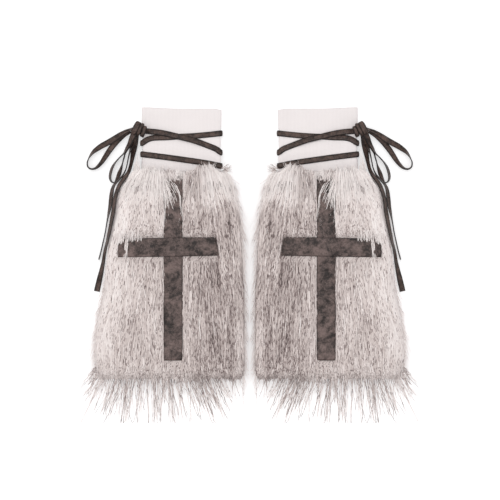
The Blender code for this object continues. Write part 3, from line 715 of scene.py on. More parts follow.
def halfTurn(front, back, towards):
    # the bend of the lace round a side edge of the cuff
    middle, radius = (front.z + back.z) / 2, (front.z - back.z) / 2
    bend = []
    for angle in range(lace["bendAngles"], 180, lace["bendAngles"]):
        turn = math.radians(angle)
        down = front.y + (back.y - front.y) * angle / 180
        out = front.x + towards * lace["edgeReach"] * math.sin(turn)
        bend.append(Vector((out, down, middle + radius * math.cos(turn))))
    return bend


def addStrap(name, centres, sideways, nodes, seed):
    centres = [place(*centre) for centre in centres]
    sideways = [Vector((-side.x, -side.y, side.z)) for side in sideways]
    points, faces, uvs = strapSolid(centres, sideways, lace["width"], lace["thickness"], laceRelief(seed))
    made = addPair(name, points, faces, "lace", nodes, uvs, "strip")
    return made, centres


def frontPass(key, seed, lift=0.0, turns=(1, -1)):
    rest = lace["gap"] + lace["thickness"] / 2
    narrower = lace["edge"] / lace["drawnEdge"]
    points = []
    for out, down in smoothRoute([(out * narrower, down) for out, down in laceFront[key]], lace["steps"]):
        points.append((out, down, rest + lift * crossingShare(lace["crossingFront"], out)))
    centres, sideways = surfaceStrip(points, cuffTop)
    for towards in turns:
        end = centres[0] if towards > 0 else centres[-1]
        back = Vector((end.x, end.y, max(cuffUnderside(end.y) - rest, lace["thickness"])))
        bend = halfTurn(end, back, towards) + [back]
        if towards > 0:
            centres = bend[::-1] + centres
            sideways = [sideways[0]] * len(bend) + sideways
        else:
            centres = centres + bend
            sideways = sideways + [sideways[-1]] * len(bend)
    addStrap("lace_over_" + key, centres, sideways, ("lace_front_" + key,), seed)


def backPass(key, start, end, seed, drop=0.0, turnUp=False):
    rest = lace["gap"] + lace["thickness"] / 2
    reach, steps = lace["edge"], lace["steps"]
    points = []
    for out, down in zip(evenly(-reach, reach, steps), evenly(start, end, steps)):
        points.append((out, down, -rest - drop * crossingShare(lace["crossingBack"], out)))
    centres, sideways = surfaceStrip(points, cuffUnderside)
    if turnUp:
        top = Vector((centres[-1].x, centres[-1].y, cuffTop(centres[-1].y) + rest))
        bend = halfTurn(top, centres[-1], 1)
        centres += bend[::-1] + [top]
        sideways += [sideways[-1]] * (len(bend) + 1)
    addStrap("lace_under_" + key, centres, sideways, ("lace_back_" + key,), seed)


bow = {  # out, down, up, roll in degrees: 0 lies flat, 90 stands on its edge
    "loop_large": (
        (0.0800, 0.0362, 0.0158, -62), (0.0846, 0.0380, 0.0156, -60), (0.0944, 0.0418, 0.0144, -48),
        (0.1045, 0.0476, 0.0124, -26), (0.1145, 0.0542, 0.0110, -8), (0.1255, 0.0605, 0.0096, -6),
        (0.1352, 0.0656, 0.0082, -14), (0.1424, 0.0702, 0.0072, -28), (0.1485, 0.0746, 0.0064, -46),
        (0.1534, 0.0797, 0.0060, -64), (0.1574, 0.0857, 0.0056, -80), (0.1599, 0.0915, 0.0055, -88),
        (0.1604, 0.0960, 0.0055, -92), (0.1592, 0.1010, 0.0055, -96), (0.1556, 0.1042, 0.0055, -100),
        (0.1510, 0.1050, 0.0055, -106), (0.1463, 0.1036, 0.0055, -114), (0.1417, 0.1002, 0.0052, -124),
        (0.1359, 0.0937, 0.0048, -136), (0.1310, 0.0865, 0.0044, -148), (0.1259, 0.0785, 0.0044, -158),
        (0.1203, 0.0705, 0.0052, -168), (0.1138, 0.0622, 0.0068, -178), (0.1058, 0.0538, 0.0086, -192),
        (0.0973, 0.0466, 0.0104, -208), (0.0872, 0.0406, 0.0120, -222),
    ),
    "loop_small": (
        (0.0775, 0.0400, 0.0182, 0), (0.0794, 0.0445, 0.0184, -8), (0.0836, 0.0520, 0.0178, -24),
        (0.0876, 0.0610, 0.0166, -44), (0.0928, 0.0698, 0.0142, -60), (0.0982, 0.0784, 0.0110, -76),
        (0.1052, 0.0850, 0.0078, -82), (0.1123, 0.0930, 0.0062, -78), (0.1176, 0.1022, 0.0058, -66),
        (0.1208, 0.1120, 0.0056, -62), (0.1214, 0.1205, 0.0056, -66), (0.1188, 0.1268, 0.0056, -80),
        (0.1138, 0.1284, 0.0056, -100), (0.1094, 0.1216, 0.0056, -124), (0.1058, 0.1128, 0.0060, -136),
        (0.1026, 0.1040, 0.0064, -118), (0.0998, 0.0954, 0.0076, -98), (0.0974, 0.0870, 0.0096, -98),
        (0.0950, 0.0780, 0.0122, -104), (0.0906, 0.0686, 0.0134, -128), (0.0862, 0.0590, 0.0142, -150),
        (0.0824, 0.0500, 0.0150, -168), (0.0784, 0.0442, 0.0158, -180),
    ),
    "tail_short": (
        (0.0770, 0.0392, 0.0142, 0), (0.0782, 0.0435, 0.0142, 0), (0.0796, 0.0510, 0.0139, -4),
        (0.0814, 0.0600, 0.0134, -20), (0.0844, 0.0684, 0.0137, -48), (0.0874, 0.0756, 0.0136, -72),
        (0.0896, 0.0830, 0.0136, -82), (0.0916, 0.0926, 0.0144, -84), (0.0934, 0.1018, 0.0154, -86),
        (0.0956, 0.1086, 0.0160, -80), (0.0998, 0.1164, 0.0168, -76), (0.1064, 0.1240, 0.0174, -74),
        (0.1128, 0.1308, 0.0168, -66), (0.1166, 0.1385, 0.0144, -54), (0.1184, 0.1470, 0.0112, -46),
        (0.1200, 0.1578, 0.0088, -46), (0.1214, 0.1683, 0.0070, -52), (0.1236, 0.1788, 0.0062, -64),
        (0.1260, 0.1894, 0.0058, -78), (0.1281, 0.2010, 0.0057, -84), (0.1300, 0.2120, 0.0057, -86),
        (0.1334, 0.2281, 0.0057, -84), (0.1371, 0.2445, 0.0057, -82), (0.1408, 0.2585, 0.0057, -82),
    ),
}
longTail = {
    "start": (
        (0.0758, 0.0392, 0.0122, 0), (0.0764, 0.0435, 0.0122, 0), (0.0774, 0.0510, 0.0116, 0),
        (0.0784, 0.0600, 0.0100, -4), (0.0800, 0.0690, 0.0091, -12), (0.0822, 0.0800, 0.0108, -32),
        (0.0840, 0.0910, 0.0152, -50), (0.0862, 0.1015, 0.0208, -54), (0.0894, 0.1110, 0.0266, -50),
    ),
    "flank": (
        (0.121, 40), (0.132, 38), (0.145, 37), (0.160, 38), (0.176, 40), (0.194, 38), (0.212, 33),
        (0.228, 25),
    ),
    "end": (
        (0.1298, 0.2460, 0.0166, -58), (0.1324, 0.2620, 0.0110, -52), (0.1360, 0.2780, 0.0060, -36),
        (0.1398, 0.2940, 0.0032, -14), (0.1441, 0.3125, 0.0018, 0),
    ),
    "shoulder": 27.0 * mm, "pile": 24.0 * mm, "underside": 14.3 * mm, "clearance": 3.6 * mm,
}
bowFacts = {  # real length and where the far end is
    "loop_large": (0.212, "object"), "loop_small": (0.200, "object"),
    "tail_short": (0.233, "bare"), "tail_long": (0.294, "bare"),
}


def furEdges():
    # outer and inner edge of the fur down its length, read from its solid
    mesh = bpy.data.objects["left_fur_front"].data
    spots = np.array([vert.co for vert in mesh.vertices])
    downs = np.round(pair["length"] / 2 - spots[:, 1], 5)
    outs = -pair["spacing"] / 2 - spots[:, 0]
    rows = np.unique(downs)
    widths = np.array([(outs[downs == down].max(), outs[downs == down].min()) for down in rows])
    return rows, widths[:, 0], widths[:, 1]


edgeDowns, outerEdges, innerEdges = furEdges()
furTop, furHem = float(edgeDowns[0]), float(edgeDowns[-1])


def outerEdge(down):
    return float(np.interp(down, edgeDowns, outerEdges))


def innerEdge(down):
    return float(np.interp(down, edgeDowns, innerEdges))


def edgeSlope(edge, down, reach):
    return (edge(down + reach) - edge(down - reach)) / (2 * reach)


def panelShare(out, down):
    # where a place is across the fur: 1 at its outer edge and -1 at its inner one
    outer, inner = outerEdge(down), innerEdge(down)
    return (2 * out - outer - inner) / (outer - inner)


def flankPoints():
    # the long tail's way down over the rounded outer side of the pile
    wide, high, clearance = longTail["shoulder"], longTail["pile"], longTail["clearance"]
    points = []
    for down, climb in longTail["flank"]:
        angle = math.radians(climb)
        tilt = math.atan2(high * math.cos(angle), wide * math.sin(angle))
        out = outerEdge(down) - wide * (1.0 - math.cos(angle)) + clearance * math.sin(tilt)
        up = longTail["underside"] + high * math.sin(angle) + clearance * math.cos(tilt)
        points.append((out, down, up, -math.degrees(tilt)))
    return tuple(points)


bowSpots = []  # x, y, z, half width and half height along the strips of the left bow
bowMargin = 1.4 * mm


def bowStrip(name, points, seed):
    length, farEnd = bowFacts[name]
    count = int(length / lace["step"])
    samples = smoothRoute(points, count)
    centres = [Vector(sample[:3]) for sample in samples]
    rolls = [math.radians(sample[3]) for sample in samples]
    sideways = []
    for index, roll in enumerate(rolls):
        ahead = centres[min(index + 1, count - 1)] - centres[max(index - 1, 0)]
        level = Vector((ahead.y, -ahead.x, 0.0)).normalized()
        upright = level.cross(ahead).normalized()
        if upright.z < 0:
            upright = -upright
        sideways.append(level * math.cos(roll) + upright * math.sin(roll))
    made, route = addStrap("bow_" + name, centres, sideways, (name,), seed)
    for spot, roll in zip(route, rolls):
        wide, high = abs(math.cos(roll)) * lace["width"] / 2, abs(math.sin(roll)) * lace["width"] / 2
        bowSpots.append((*spot, wide + bowMargin, high + bowMargin))
    for piece, side in zip(made, (1, -1)):
        path = [(side * spot.x, spot.y, spot.z) for spot in route]
        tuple(path[0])


knotPiece = {
    "out": 69.5 * mm, "down": 38.2 * mm, "turn": 24.0, "height": 9.0 * mm,
    "bands": (  # middle along and across the knot, width, reach, height, slant in degrees, crown
        (7.6 * mm, 1.3 * mm, 10.6 * mm, 11.2 * mm, 4.2 * mm, 3.0, 0.9 * mm),
        (0.1 * mm, 0.4 * mm, 6.2 * mm, 10.0 * mm, 5.4 * mm, 2.0, 1.5 * mm),
        (-6.2 * mm, 0.8 * mm, 7.6 * mm, 8.8 * mm, 3.2 * mm, -4.0, 0.4 * mm),
    ),
    "core": (10.4 * mm, 7.4 * mm, 3.2 * mm), "coreSteps": (20, 12), "coreShade": (0.98, 0.0),
    "crease": (0.5 * mm, 320, 1.5), "narrower": 0.16, "ring": 0.7, "edge": 0.5, "face": 0.6,
    "rows": 34, "around": 10,
}


def bandRing(seat, band, seed):
    # one turn of the strip pulled round the core
    where, aside, wide, reach, high, slant, crown = band
    lean = math.tan(math.radians(slant))
    rows, around = knotPiece["rows"], knotPiece["around"]
    points, spread = [], []
    for k in range(rows):
        angle = 2 * math.pi * k / rows
        across = squared(math.cos(angle), knotPiece["ring"]) * reach
        up = squared(math.sin(angle), knotPiece["ring"]) * high
        narrow = 1.0 - knotPiece["narrower"] * abs(math.cos(angle)) ** 3
        for j in range(around):
            circling = 2 * math.pi * j / around
            wideways = squared(math.cos(circling), knotPiece["edge"]) * wide / 2 * narrow
            thick = squared(math.sin(circling), knotPiece["face"]) * lace["thickness"] / 2
            crease = rumple((*knotPiece["crease"], seed), wideways, angle)
            puffed = crown * (1.0 - (2 * wideways / wide) ** 2)
            grow = 1.0 + (thick + crease + puffed) / math.hypot(across, up)
            points.append(seat(where + wideways + lean * across * grow, aside + across * grow, up * grow))
            spread.append((0.5 + wideways / wide, angle))
    return points, outwards(points, ringFaces(rows, around, closed=True)), spread


def makeKnot():
    base = cuffTop(knotPiece["down"] + lace["width"]) + lace["thickness"] + 2 * lace["gap"]
    turn = math.radians(knotPiece["turn"])
    points, faces, spread = [], [], []

    def seat(along, across, up):
        # the knot lies askew on the cuff, its far end up and out
        out = knotPiece["out"] + along * math.cos(turn) + across * math.sin(turn)
        down = knotPiece["down"] - along * math.sin(turn) + across * math.cos(turn)
        return place(out, down, base + knotPiece["height"] / 2 + up)

    def join(newPoints, newFaces, newSpread):
        first = len(points)
        points.extend(newPoints)
        spread.extend(newSpread)
        faces.extend([tuple(first + i for i in face) for face in newFaces])

    for index, band in enumerate(knotPiece["bands"]):
        join(*bandRing(seat, band, index * 5.0))
    core = bmesh.new()
    across, along = knotPiece["coreSteps"]
    bmesh.ops.create_uvsphere(core, u_segments=across, v_segments=along, radius=1.0)
    corePoints = [seat(*[a * b for a, b in zip(vert.co, knotPiece["core"])]) for vert in core.verts]
    coreFaces = [tuple(vert.index for vert in face.verts) for face in core.faces]
    coreFaces.sort(key=sorted)  # the sphere's own faces come in another order each run
    core.free()
    join(corePoints, outwards(corePoints, coreFaces), [knotPiece["coreShade"]] * len(corePoints))
    addPair("lace_knot_folds", points, faces, "lace", ("lace_knot",), loopMap(faces, spread), "strip")


def makeLace():
    raised = lace["thickness"] + lace["gap"]
    for index, (name, points) in enumerate(bow.items()):
        bowStrip(name, points, 10.0 + index)
    bowStrip("tail_long", longTail["start"] + flankPoints() + longTail["end"], 14.0)
    frontPass("upper", 1.0)
    frontPass("diagonal", 2.0, lift=raised, turns=(-1,))
    frontPass("lower", 3.0)
    backPass("middle", 0.0772, 0.0802, 4.0)
    backPass("rising", 0.1000, 0.0612, 5.0, drop=raised)
    backPass("upper", 0.0444, 0.0410, 6.0, turnUp=True)
    makeKnot()
    print("lace made")


# cross: two strips of leather on the front panel, the bar over the upright

cross = {
    "width": 31.6 * mm, "middle": 13.4 * mm, "top": 0.1233, "end": 0.4286,
    "barDown": 0.2375, "barOuter": 0.1065, "barInner": -0.061, "thickness": 1.6 * mm,
    "barTilt": 0.018, "barCut": (0.17, 30 * mm),  # the inner end is cut aslant, over its last 30 mm
    "longSteps": 90, "shortSteps": 60, "past": 0.2 * mm, "inset": 1.0 * mm, "softened": 3, "around": 32,
    "crown": 0.35 * mm, "slack": (0.45 * mm, 26, 34), "wrinkle": (0.28 * mm, 70, 1), "wrinkleSlant": (25, 20),
    "seenFrom": 0.2,
}


def heightAbove(tree, out, down):
    hit = tree.ray_cast(place(out, down, cross["seenFrom"]), Vector((0, 0, -1)))
    return hit[0].z if hit[0] else None


def averaged(values, reach):
    # a running mean, which keeps the ends where they are
    result = []
    for k in range(len(values)):
        near = min(reach, k, len(values) - 1 - k)
        part = values[k - near:k + near + 1]
        result.append(sum(part) / len(part))
    return result


def crossStrip(name, node, places, widthDirections, seed):
    tree = evaluatedTree(bpy.data.objects["left_" + node])
    heights = []
    for index, (out, down) in enumerate(places):
        height = heightAbove(tree, out, down)
        if height is None:
            towards = places[1] if index == 0 else places[-2]
            share = cross["inset"] / math.dist((out, down), towards)
            height = heightAbove(tree, out + (towards[0] - out) * share, down + (towards[1] - down) * share)
        heights.append(height - cross["thickness"] / 2)
    heights = averaged(heights, cross["softened"])
    centres = [place(out, down, height) for (out, down), height in zip(places, heights)]

    def relief(along, across):
        # pressed edges, a soft crown and a few slack wrinkles
        crowned = cross["crown"] * (1.0 - abs(2 * across / cross["width"])**4)
        slack = rumple((*cross["slack"], seed), along, across)
        wide, long = cross["wrinkleSlant"]
        return crowned + slack + rumple((*cross["wrinkle"], seed + 7), along, across * wide + along * long)

    points, faces, uvs = strapSolid(centres, widthDirections, cross["width"], cross["thickness"], relief,
                                    around=cross["around"])
    addPair(name, points, faces, "cross", (node,), uvs, "strip")


def makeCross():
    past = cross["past"]
    downs = evenly(cross["top"] + past, cross["end"] - past, cross["longSteps"])
    upright = [(cross["middle"], down) for down in downs]
    crossStrip("cross_long_strip", "cross_upright", upright, [Vector((1, 0, 0))] * len(upright), 21.0)
    outs = evenly(cross["barOuter"] - past, cross["barInner"] + past, cross["shortSteps"])
    middle = (cross["barOuter"] + cross["barInner"]) / 2
    slant, reach = cross["barCut"]
    bar = [(out, cross["barDown"] + cross["barTilt"] * (out - middle)) for out in outs]
    directions = [Vector((-slant * ease(1.0 - (out - cross["barInner"]) / reach), 1, 0)) for out in outs]
    crossStrip("cross_short_strip", "cross_bar", bar, directions, 22.0)
    print("crosses made")


# pile: the thick body of the fur under the drawn hairs

pile = {  # size of the remesh, how far the upper side sinks under the hairs, least height over the floor
    "front": (4.5 * mm, 1.6 * mm, 0.15 * mm),
    "back": (6.0 * mm, 0.0, 0.0),
    "smoothed": 2,
}


def makePile(panel):
    node = "fur_" + panel
    voxel, inset, least = pile[panel]
    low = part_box("left_" + node)[0]
    worker = addObject("worker", bpy.data.objects["left_" + node].data.copy())
    remesh = worker.modifiers.new("remesh", "REMESH")
    remesh.mode = "VOXEL"
    remesh.voxel_size = voxel
    bm = bmesh.new()
    bm.from_mesh(worker.evaluated_get(bpy.context.evaluated_depsgraph_get()).to_mesh())
    for _ in range(pile["smoothed"]):
        bmesh.ops.smooth_vert(
            bm, verts=bm.verts, factor=0.5, use_axis_x=True, use_axis_y=True, use_axis_z=True)
    bm.normal_update()
    for vert in bm.verts:
        vert.co -= vert.normal * (inset * max(vert.normal.z, 0.0))
        vert.co.z = max(vert.co.z, low[2] + least)
    points = [vert.co.copy() for vert in bm.verts]
    faces = [tuple(vert.index for vert in face.verts) for face in bm.faces]
    bm.free()
    bpy.data.objects.remove(worker)
    return addPair("pile_" + panel, points, faces, "pile", (node,))


# hairs: closed three-sided tapering strands, combed down over the pile

strand = {
    "thick": 0.42, "taper": 1.6, "root": 0.8, "leastHeight": 0.9 * mm, "sharp": 80,
    "crimpIn": 2.5, "archIn": 1.3, "clear": 0.2 * mm, "lowest": 0.7 * mm,
}


def strandMesh(paths, normals, widths, kinds):
    # paths holds each strand's ring centres and its tip, and widths its width at each ring
    count, rings = paths.shape[0], paths.shape[1] - 1
    ahead = np.gradient(paths, axis=1)
    ahead /= np.linalg.norm(ahead, axis=2, keepdims=True) + tiny
    across = np.cross(ahead, normals)
    across /= np.linalg.norm(across, axis=2, keepdims=True) + tiny
    over = np.cross(across, ahead)
    points = np.zeros((count, rings * 3 + 1, 3))
    for j, angle in enumerate((90, 210, 330)):
        sine, cosine = math.sin(math.radians(angle)), math.cos(math.radians(angle))
        reach = cosine * across[:, :-1] + strand["thick"] * sine * over[:, :-1]
        points[:, j:rings * 3:3] = paths[:, :-1] + widths[:, :, None] / 2 * reach
    points[:, -1] = paths[:, -1]
    last = 3 * (rings - 1)
    tips = [(last + j, last + (j + 1) % 3, 3 * rings) for j in range(3)]
    faces = [(2, 1, 0)] + ringFaces(rings, 3) + tips
    corners = [(2, 0.0), (1, 0.0), (0, 0.3)]
    for r in range(rings - 1):
        for j in range(3):
            corners += [(j, r), (j + 1, r), (j + 1, r + 1), (j, r + 1)]
    for j in range(3):
        corners += [(j, rings - 1), (j + 1, rings - 1), (j + 0.5, rings)]
    corners = np.array(corners, float)
    allFaces = [tuple(s * (rings * 3 + 1) + i for i in face) for s in range(count) for face in faces]
    side, end = hairColour["mapEdge"]
    columns = np.floor(np.clip(kinds, 0.0, 0.999) * hairColour["columns"])
    u = (columns[:, None] + side + (1.0 - 2 * side) * corners[None, :, 0] / 3) / hairColour["columns"]
    v = np.broadcast_to(end + (1.0 - 2 * end) * corners[None, :, 1] / rings, u.shape)
    return points.reshape(-1, 3), allFaces, np.stack((u, v), axis=2).reshape(-1, 2)


def clearOfBow(path):
    # no hair through the bow's strips, or over them
    spots = np.array(bowSpots)
    off = np.hypot(path[:, None, 0] - spots[None, :, 0], path[:, None, 1] - spots[None, :, 1])
    return not np.any((off < spots[None, :, 3]) & (path[:, None, 2] > spots[None, :, 2] - spots[None, :, 4]))


def addHairs(name, hairs, nodes=(), tip=0.62, finish="hair"):
    # hairs are rows of (points, normals, width, kind); the width tapers to the tip
    hairs = [row for row in hairs if clearOfBow(row[0])]
    paths = np.array([row[0] for row in hairs], float)
    paths[:, :, 2] = np.maximum(paths[:, :, 2], strand["leastHeight"])
    normals = np.array([row[1] for row in hairs], float)
    kinds = np.array([row[3] for row in hairs])
    rings = paths.shape[1] - 1
    taper = 1.0 - tip * (np.arange(rings) / rings) ** strand["taper"]
    taper[0] *= strand["root"]
    widths = np.array([row[2] for row in hairs])[:, None] * taper[None, :]
    points, faces, uvs = strandMesh(paths, normals, widths, kinds)
    addPair(name, points, faces, finish, nodes, uvs, sharp=strand["sharp"])
    print(name, len(hairs), "a leg")


def shares(steps):
    return np.linspace(0.0, 1.0, steps + 1)


def levelNormals(steps, lean=0.0):
    return np.tile((0.0, lean, 1.0), (steps + 1, 1))


def crossClear(out, down):
    # how far a place is from the leather cross, less than 0 on it
    half = cross["width"] / 2
    onUpright = max(abs(out - cross["middle"]) - half, cross["top"] - down, down - cross["end"])
    onBar = max(abs(down - cross["barDown"]) - half, cross["barInner"] - out, out - cross["barOuter"])
    return min(onUpright, onBar)


crown = {
    "hump": (0.052, -0.048), "half": (0.058, 0.046), "notch": 2 * mm, "turn": 44.0, "most": 1.1,
    "fade": (0.118, 0.062),
}
flow = {
    "wave": (12.0, 1 / 0.016, 1 / 0.040, 0.0), "ripple": (9.0, 1 / 0.006, 1 / 0.020, 5.0),
    "calm": (-2 * mm, 10 * mm),  # beside the leather
    "slopeReach": 6 * mm, "steepest": 0.7, "edgePower": 1.4, "spread": 5.0, "hem": 0.40,
}


def hairHeading(out, down):
    # degrees from straight down the leg towards the outer side; it fans with the outline and from both humps
    share = panelShare(out, down)
    steepest = flow["steepest"]
    slope = edgeSlope(outerEdge if share > 0 else innerEdge, down, flow["slopeReach"])
    slope = max(min(slope, steepest), -steepest)
    if down > flow["hem"]:
        slope = max(slope, 0.0) if share > 0 else min(slope, 0.0)
    heading = math.degrees(math.atan(slope)) * abs(share) ** flow["edgePower"] + flow["spread"] * share
    side = 0 if out > crown["notch"] else 1
    off = (out - crown["hump"][side]) / crown["half"][side]
    fan = crown["turn"] * max(min(off, crown["most"]), -crown["most"])
    return heading + fan * (1.0 - rising(down, *crown["fade"]))


def hairWave(out, down):
    # neighbouring hairs lean together, and less so beside the leather
    lean = rumple(flow["wave"], out, down) + rumple(flow["ripple"], out, down)
    return lean * rising(crossClear(out, down), *flow["calm"])


def resampled(rows, length, steps):
    # rows of (distance, point, normal) read again at even steps of a length
    distances = [row[0] for row in rows]
    reads = np.linspace(0.0, min(length, distances[-1]), steps + 1)
    spots, normals = np.array([row[1] for row in rows]), np.array([row[2] for row in rows])
    return tuple(np.stack([np.interp(reads, distances, values[:, i]) for i in range(3)], axis=1)
                 for values in (spots, normals))


comb = {
    "stride": 5 * mm, "above": 0.035, "hem": 1.0 * mm, "fall": 0.7 * mm, "lowest": 1.0 * mm, "gap": 0.3 * mm,
    "shortest": 7 * mm,
}


def combPath(tree, out, down, turn, length, steps, pastHem, over=False):
    # follows the pile's surface down the leg, stops at the leather and droops past the hem
    stride = comb["stride"]
    spot, normal = tree.find_nearest(place(out, down, comb["above"]))[:2]
    rows = [(0.0, tuple(spot), tuple(normal))]
    gone, past, fall = 0.0, 0.0, 0.0
    atLeather = False
    while gone < length and past <= pastHem and not atLeather:
        out, down = local(spot)
        heading = math.radians(hairHeading(out, down) + hairWave(out, down) + turn)
        direction = Vector((-math.sin(heading), -math.cos(heading), 0.0))
        step = stride
        if past or down + math.cos(heading) * stride > furHem - comb["hem"]:
            past += stride
            fall += comb["fall"]
            spot = spot + direction * stride
            spot.z = max(spot.z - fall, comb["lowest"])
            normal = Vector((0, 0, 1))
        else:
            nextOut, nextDown = out + math.sin(heading) * stride, down + math.cos(heading) * stride
            if not over and crossClear(nextOut, nextDown) < 0:
                step = min(max(crossClear(out, down), 0.0) + comb["gap"], stride)
                atLeather = True
            ahead = direction - normal * direction.dot(normal)
            spot, normal = tree.find_nearest(spot + ahead.normalized() * step)[:2]
        gone += step
        rows.append((gone, tuple(spot), tuple(normal)))
    return resampled(rows, length, steps) if gone >= comb["shortest"] else None


locks = {
    "spacing": 7.0 * mm, "gather": 0.8, "height": 0.9 * mm, "wave": (12.0, 55, 16, 8.0),
    "warps": ((5.0 * mm, 60, 14, 2.0), (2.0 * mm, 150, 40, 4.0)),
}


def lockPhase(out, down):
    warp = sum(rumple(pattern, out, down) for pattern in locks["warps"])
    return 2 * math.pi * (out + warp) / locks["spacing"]


def gathered(path, normals):
    # the hair bends towards the middle of its lock as it leaves the pile
    for spot, normal, share in zip(path, normals, shares(len(path) - 1)):
        phase = lockPhase(*local(spot))
        spot[0] += locks["gather"] * locks["spacing"] / (2 * math.pi) * math.sin(phase) * share
        spot += normal * locks["height"] * math.cos(phase) * share
    return path


def crimped(path, normals, size, waves, phase):
    # a sideways wave that starts a little way from the root
    share = shares(len(path) - 1)
    across = np.cross(np.gradient(path, axis=0), normals)
    across /= np.linalg.norm(across, axis=1, keepdims=True) + tiny
    wave = np.sin(2 * np.pi * waves * share + phase) - math.sin(phase)
    return path + across * (size * wave * np.minimum(share * strand["crimpIn"], 1.0))[:, None]


def lifted(path, normals, lift, tipLift):
    # the hair arches off the pile and ends at a height of its own
    share = shares(len(path) - 1)
    arch = np.sin(np.pi * np.minimum(share * strand["archIn"], 1.0))
    path = path + normals * (lift * arch + tipLift * share**2 + strand["clear"])[:, None]
    path[:, 2] = np.maximum(path[:, 2], strand["lowest"])
    return path


furTone = {  # 0 is whitest and 1 is darkest; each slope has its start, its reach and how much it changes
    "crown": 0.03, "below": ((0.122, 0.04, 0.22), (0.14, 0.15, 0.12)),
    "inner": (-0.15, 0.7, 0.24), "innerTop": (0.128, 0.05), "innerEdge": (0.80, 0.14, 0.8),
    "outer": (0.50, 0.3, 0.62), "outerEnd": (0.40, 0.05), "hem": (0.438, 0.015, 0.08),
    "streaks": ((1.0, 140, 12, 9.0), (0.6, 50, 9, 3.0)), "streaked": (0.13, 0.14), "streakTop": (0.12, 0.05),
}


def paleness(out, down):
    # white on the crown and along the outer side, dark low down and on the inner side
    share = panelShare(out, down)
    tone = furTone["crown"]
    for start, reach, more in furTone["below"]:
        tone += more * rising(down, start, reach)
    # painted light: right at the inner edge the hair is paler, against the shade on the inner flank
    start, reach, more = furTone["innerEdge"]
    dark = rising(-share, *furTone["inner"][:2]) * rising(down, *furTone["innerTop"])
    dark *= 1.0 - more * rising(-share, start, reach)
    tone += furTone["inner"][2] * dark
    start, reach, less = furTone["outer"]
    tone *= 1.0 - less * rising(share, start, reach) * (1.0 - rising(down, *furTone["outerEnd"]))
    start, reach, less = furTone["hem"]
    tone -= less * rising(down, start, reach)
    streak = sum(rumple(pattern, out, down) for pattern in furTone["streaks"])
    least, inDark = furTone["streaked"]
    return tone + (least + inDark * dark) * streak * rising(down, *furTone["streakTop"])


bodyHair = {
    "count": 12000, "steps": 4, "length": (0.045, 0.088), "width": (1.0 * mm, 2.1 * mm), "turn": 2.0,
    "lift": (0.2 * mm, 1.6 * mm), "tipLift": (-0.4 * mm, 1.0 * mm), "pastHem": (1.3 * mm, 3.8 * mm),
    "droopMiddle": (0.020, 0.045), "innerDroop": (1.4 * mm, -0.070, 0.035), "droopUneven": (2.2, 95, 0, 6.0),
    "pastMost": 24 * mm, "crimp": (0.5 * mm, 1.5 * mm), "waves": (0.9, 1.5), "phase": 0.5,
    "kindSpread": (0.04, 0.22), "toneAt": 0.33, "leatherGap": 0.2 * mm, "panelWidest": 0.256,
    "aboveHem": 2 * mm, "rounded": 0.985, "bulge": (0.55, 0.45), "leastDroop": 0.15,
}


def surfaceSpots(count, rng):
    # places over the front panel, closer together on its rounded sides
    spots = []
    while len(spots) < count:
        down, share = rng.uniform(furTop, furHem - bodyHair["aboveHem"]), rng.uniform(-1.0, 1.0)
        outer, inner = outerEdge(down), innerEdge(down)
        if rng.random() > (outer - inner) / bodyHair["panelWidest"]:
            continue
        bulge = math.sin(share * math.pi / 2 * bodyHair["rounded"])
        curved, even = bodyHair["bulge"]
        out = (outer + inner) / 2 + (outer - inner) / 2 * (curved * bulge + even * share)
        if crossClear(out, down) > bodyHair["leatherGap"]:
            spots.append((out, down))
    return spots


def hemDroop(out):
    # how far the hair hangs past the hem, in uneven locks and most of all about the middle
    least, more = bodyHair["pastHem"]
    droop = least + more * hill(out, *bodyHair["droopMiddle"])
    more, middle, reach = bodyHair["innerDroop"]
    droop += more * hill(out, middle, reach)
    return droop * max(1.0 + rumple(bodyHair["droopUneven"], out), bodyHair["leastDroop"])


def makeBodyHair(tree):
    rng = np.random.default_rng(7)
    hairs = []
    for out, down in surfaceSpots(bodyHair["count"], rng):
        pastHem = min(rng.exponential(hemDroop(out)), bodyHair["pastMost"])
        length, turn = rng.uniform(*bodyHair["length"]), rng.normal(0.0, bodyHair["turn"])
        route = combPath(tree, out, down, turn, length, bodyHair["steps"], pastHem)
        if route is None:
            continue
        path, normals = route
        path = lifted(path, normals, rng.uniform(*bodyHair["lift"]), rng.uniform(*bodyHair["tipLift"]))
        path = crimped(gathered(path, normals), normals, rng.uniform(*bodyHair["crimp"]),
                       rng.uniform(*bodyHair["waves"]),
                       rumple(locks["wave"], out, down) + rng.normal(0.0, bodyHair["phase"]))
        tone = paleness(out, down + bodyHair["toneAt"] * length)
        least, more = bodyHair["kindSpread"]
        kind = tone + rng.normal(0.0, least + more * max(tone, 0.0))
        hairs.append((path, normals, rng.uniform(*bodyHair["width"]), kind))
    hairs.sort(key=lambda row: -row[0][0][1])
    half = len(hairs) // 2
    addHairs("hair_upper", hairs[:half])
    addHairs("hair_lower", hairs[half:])


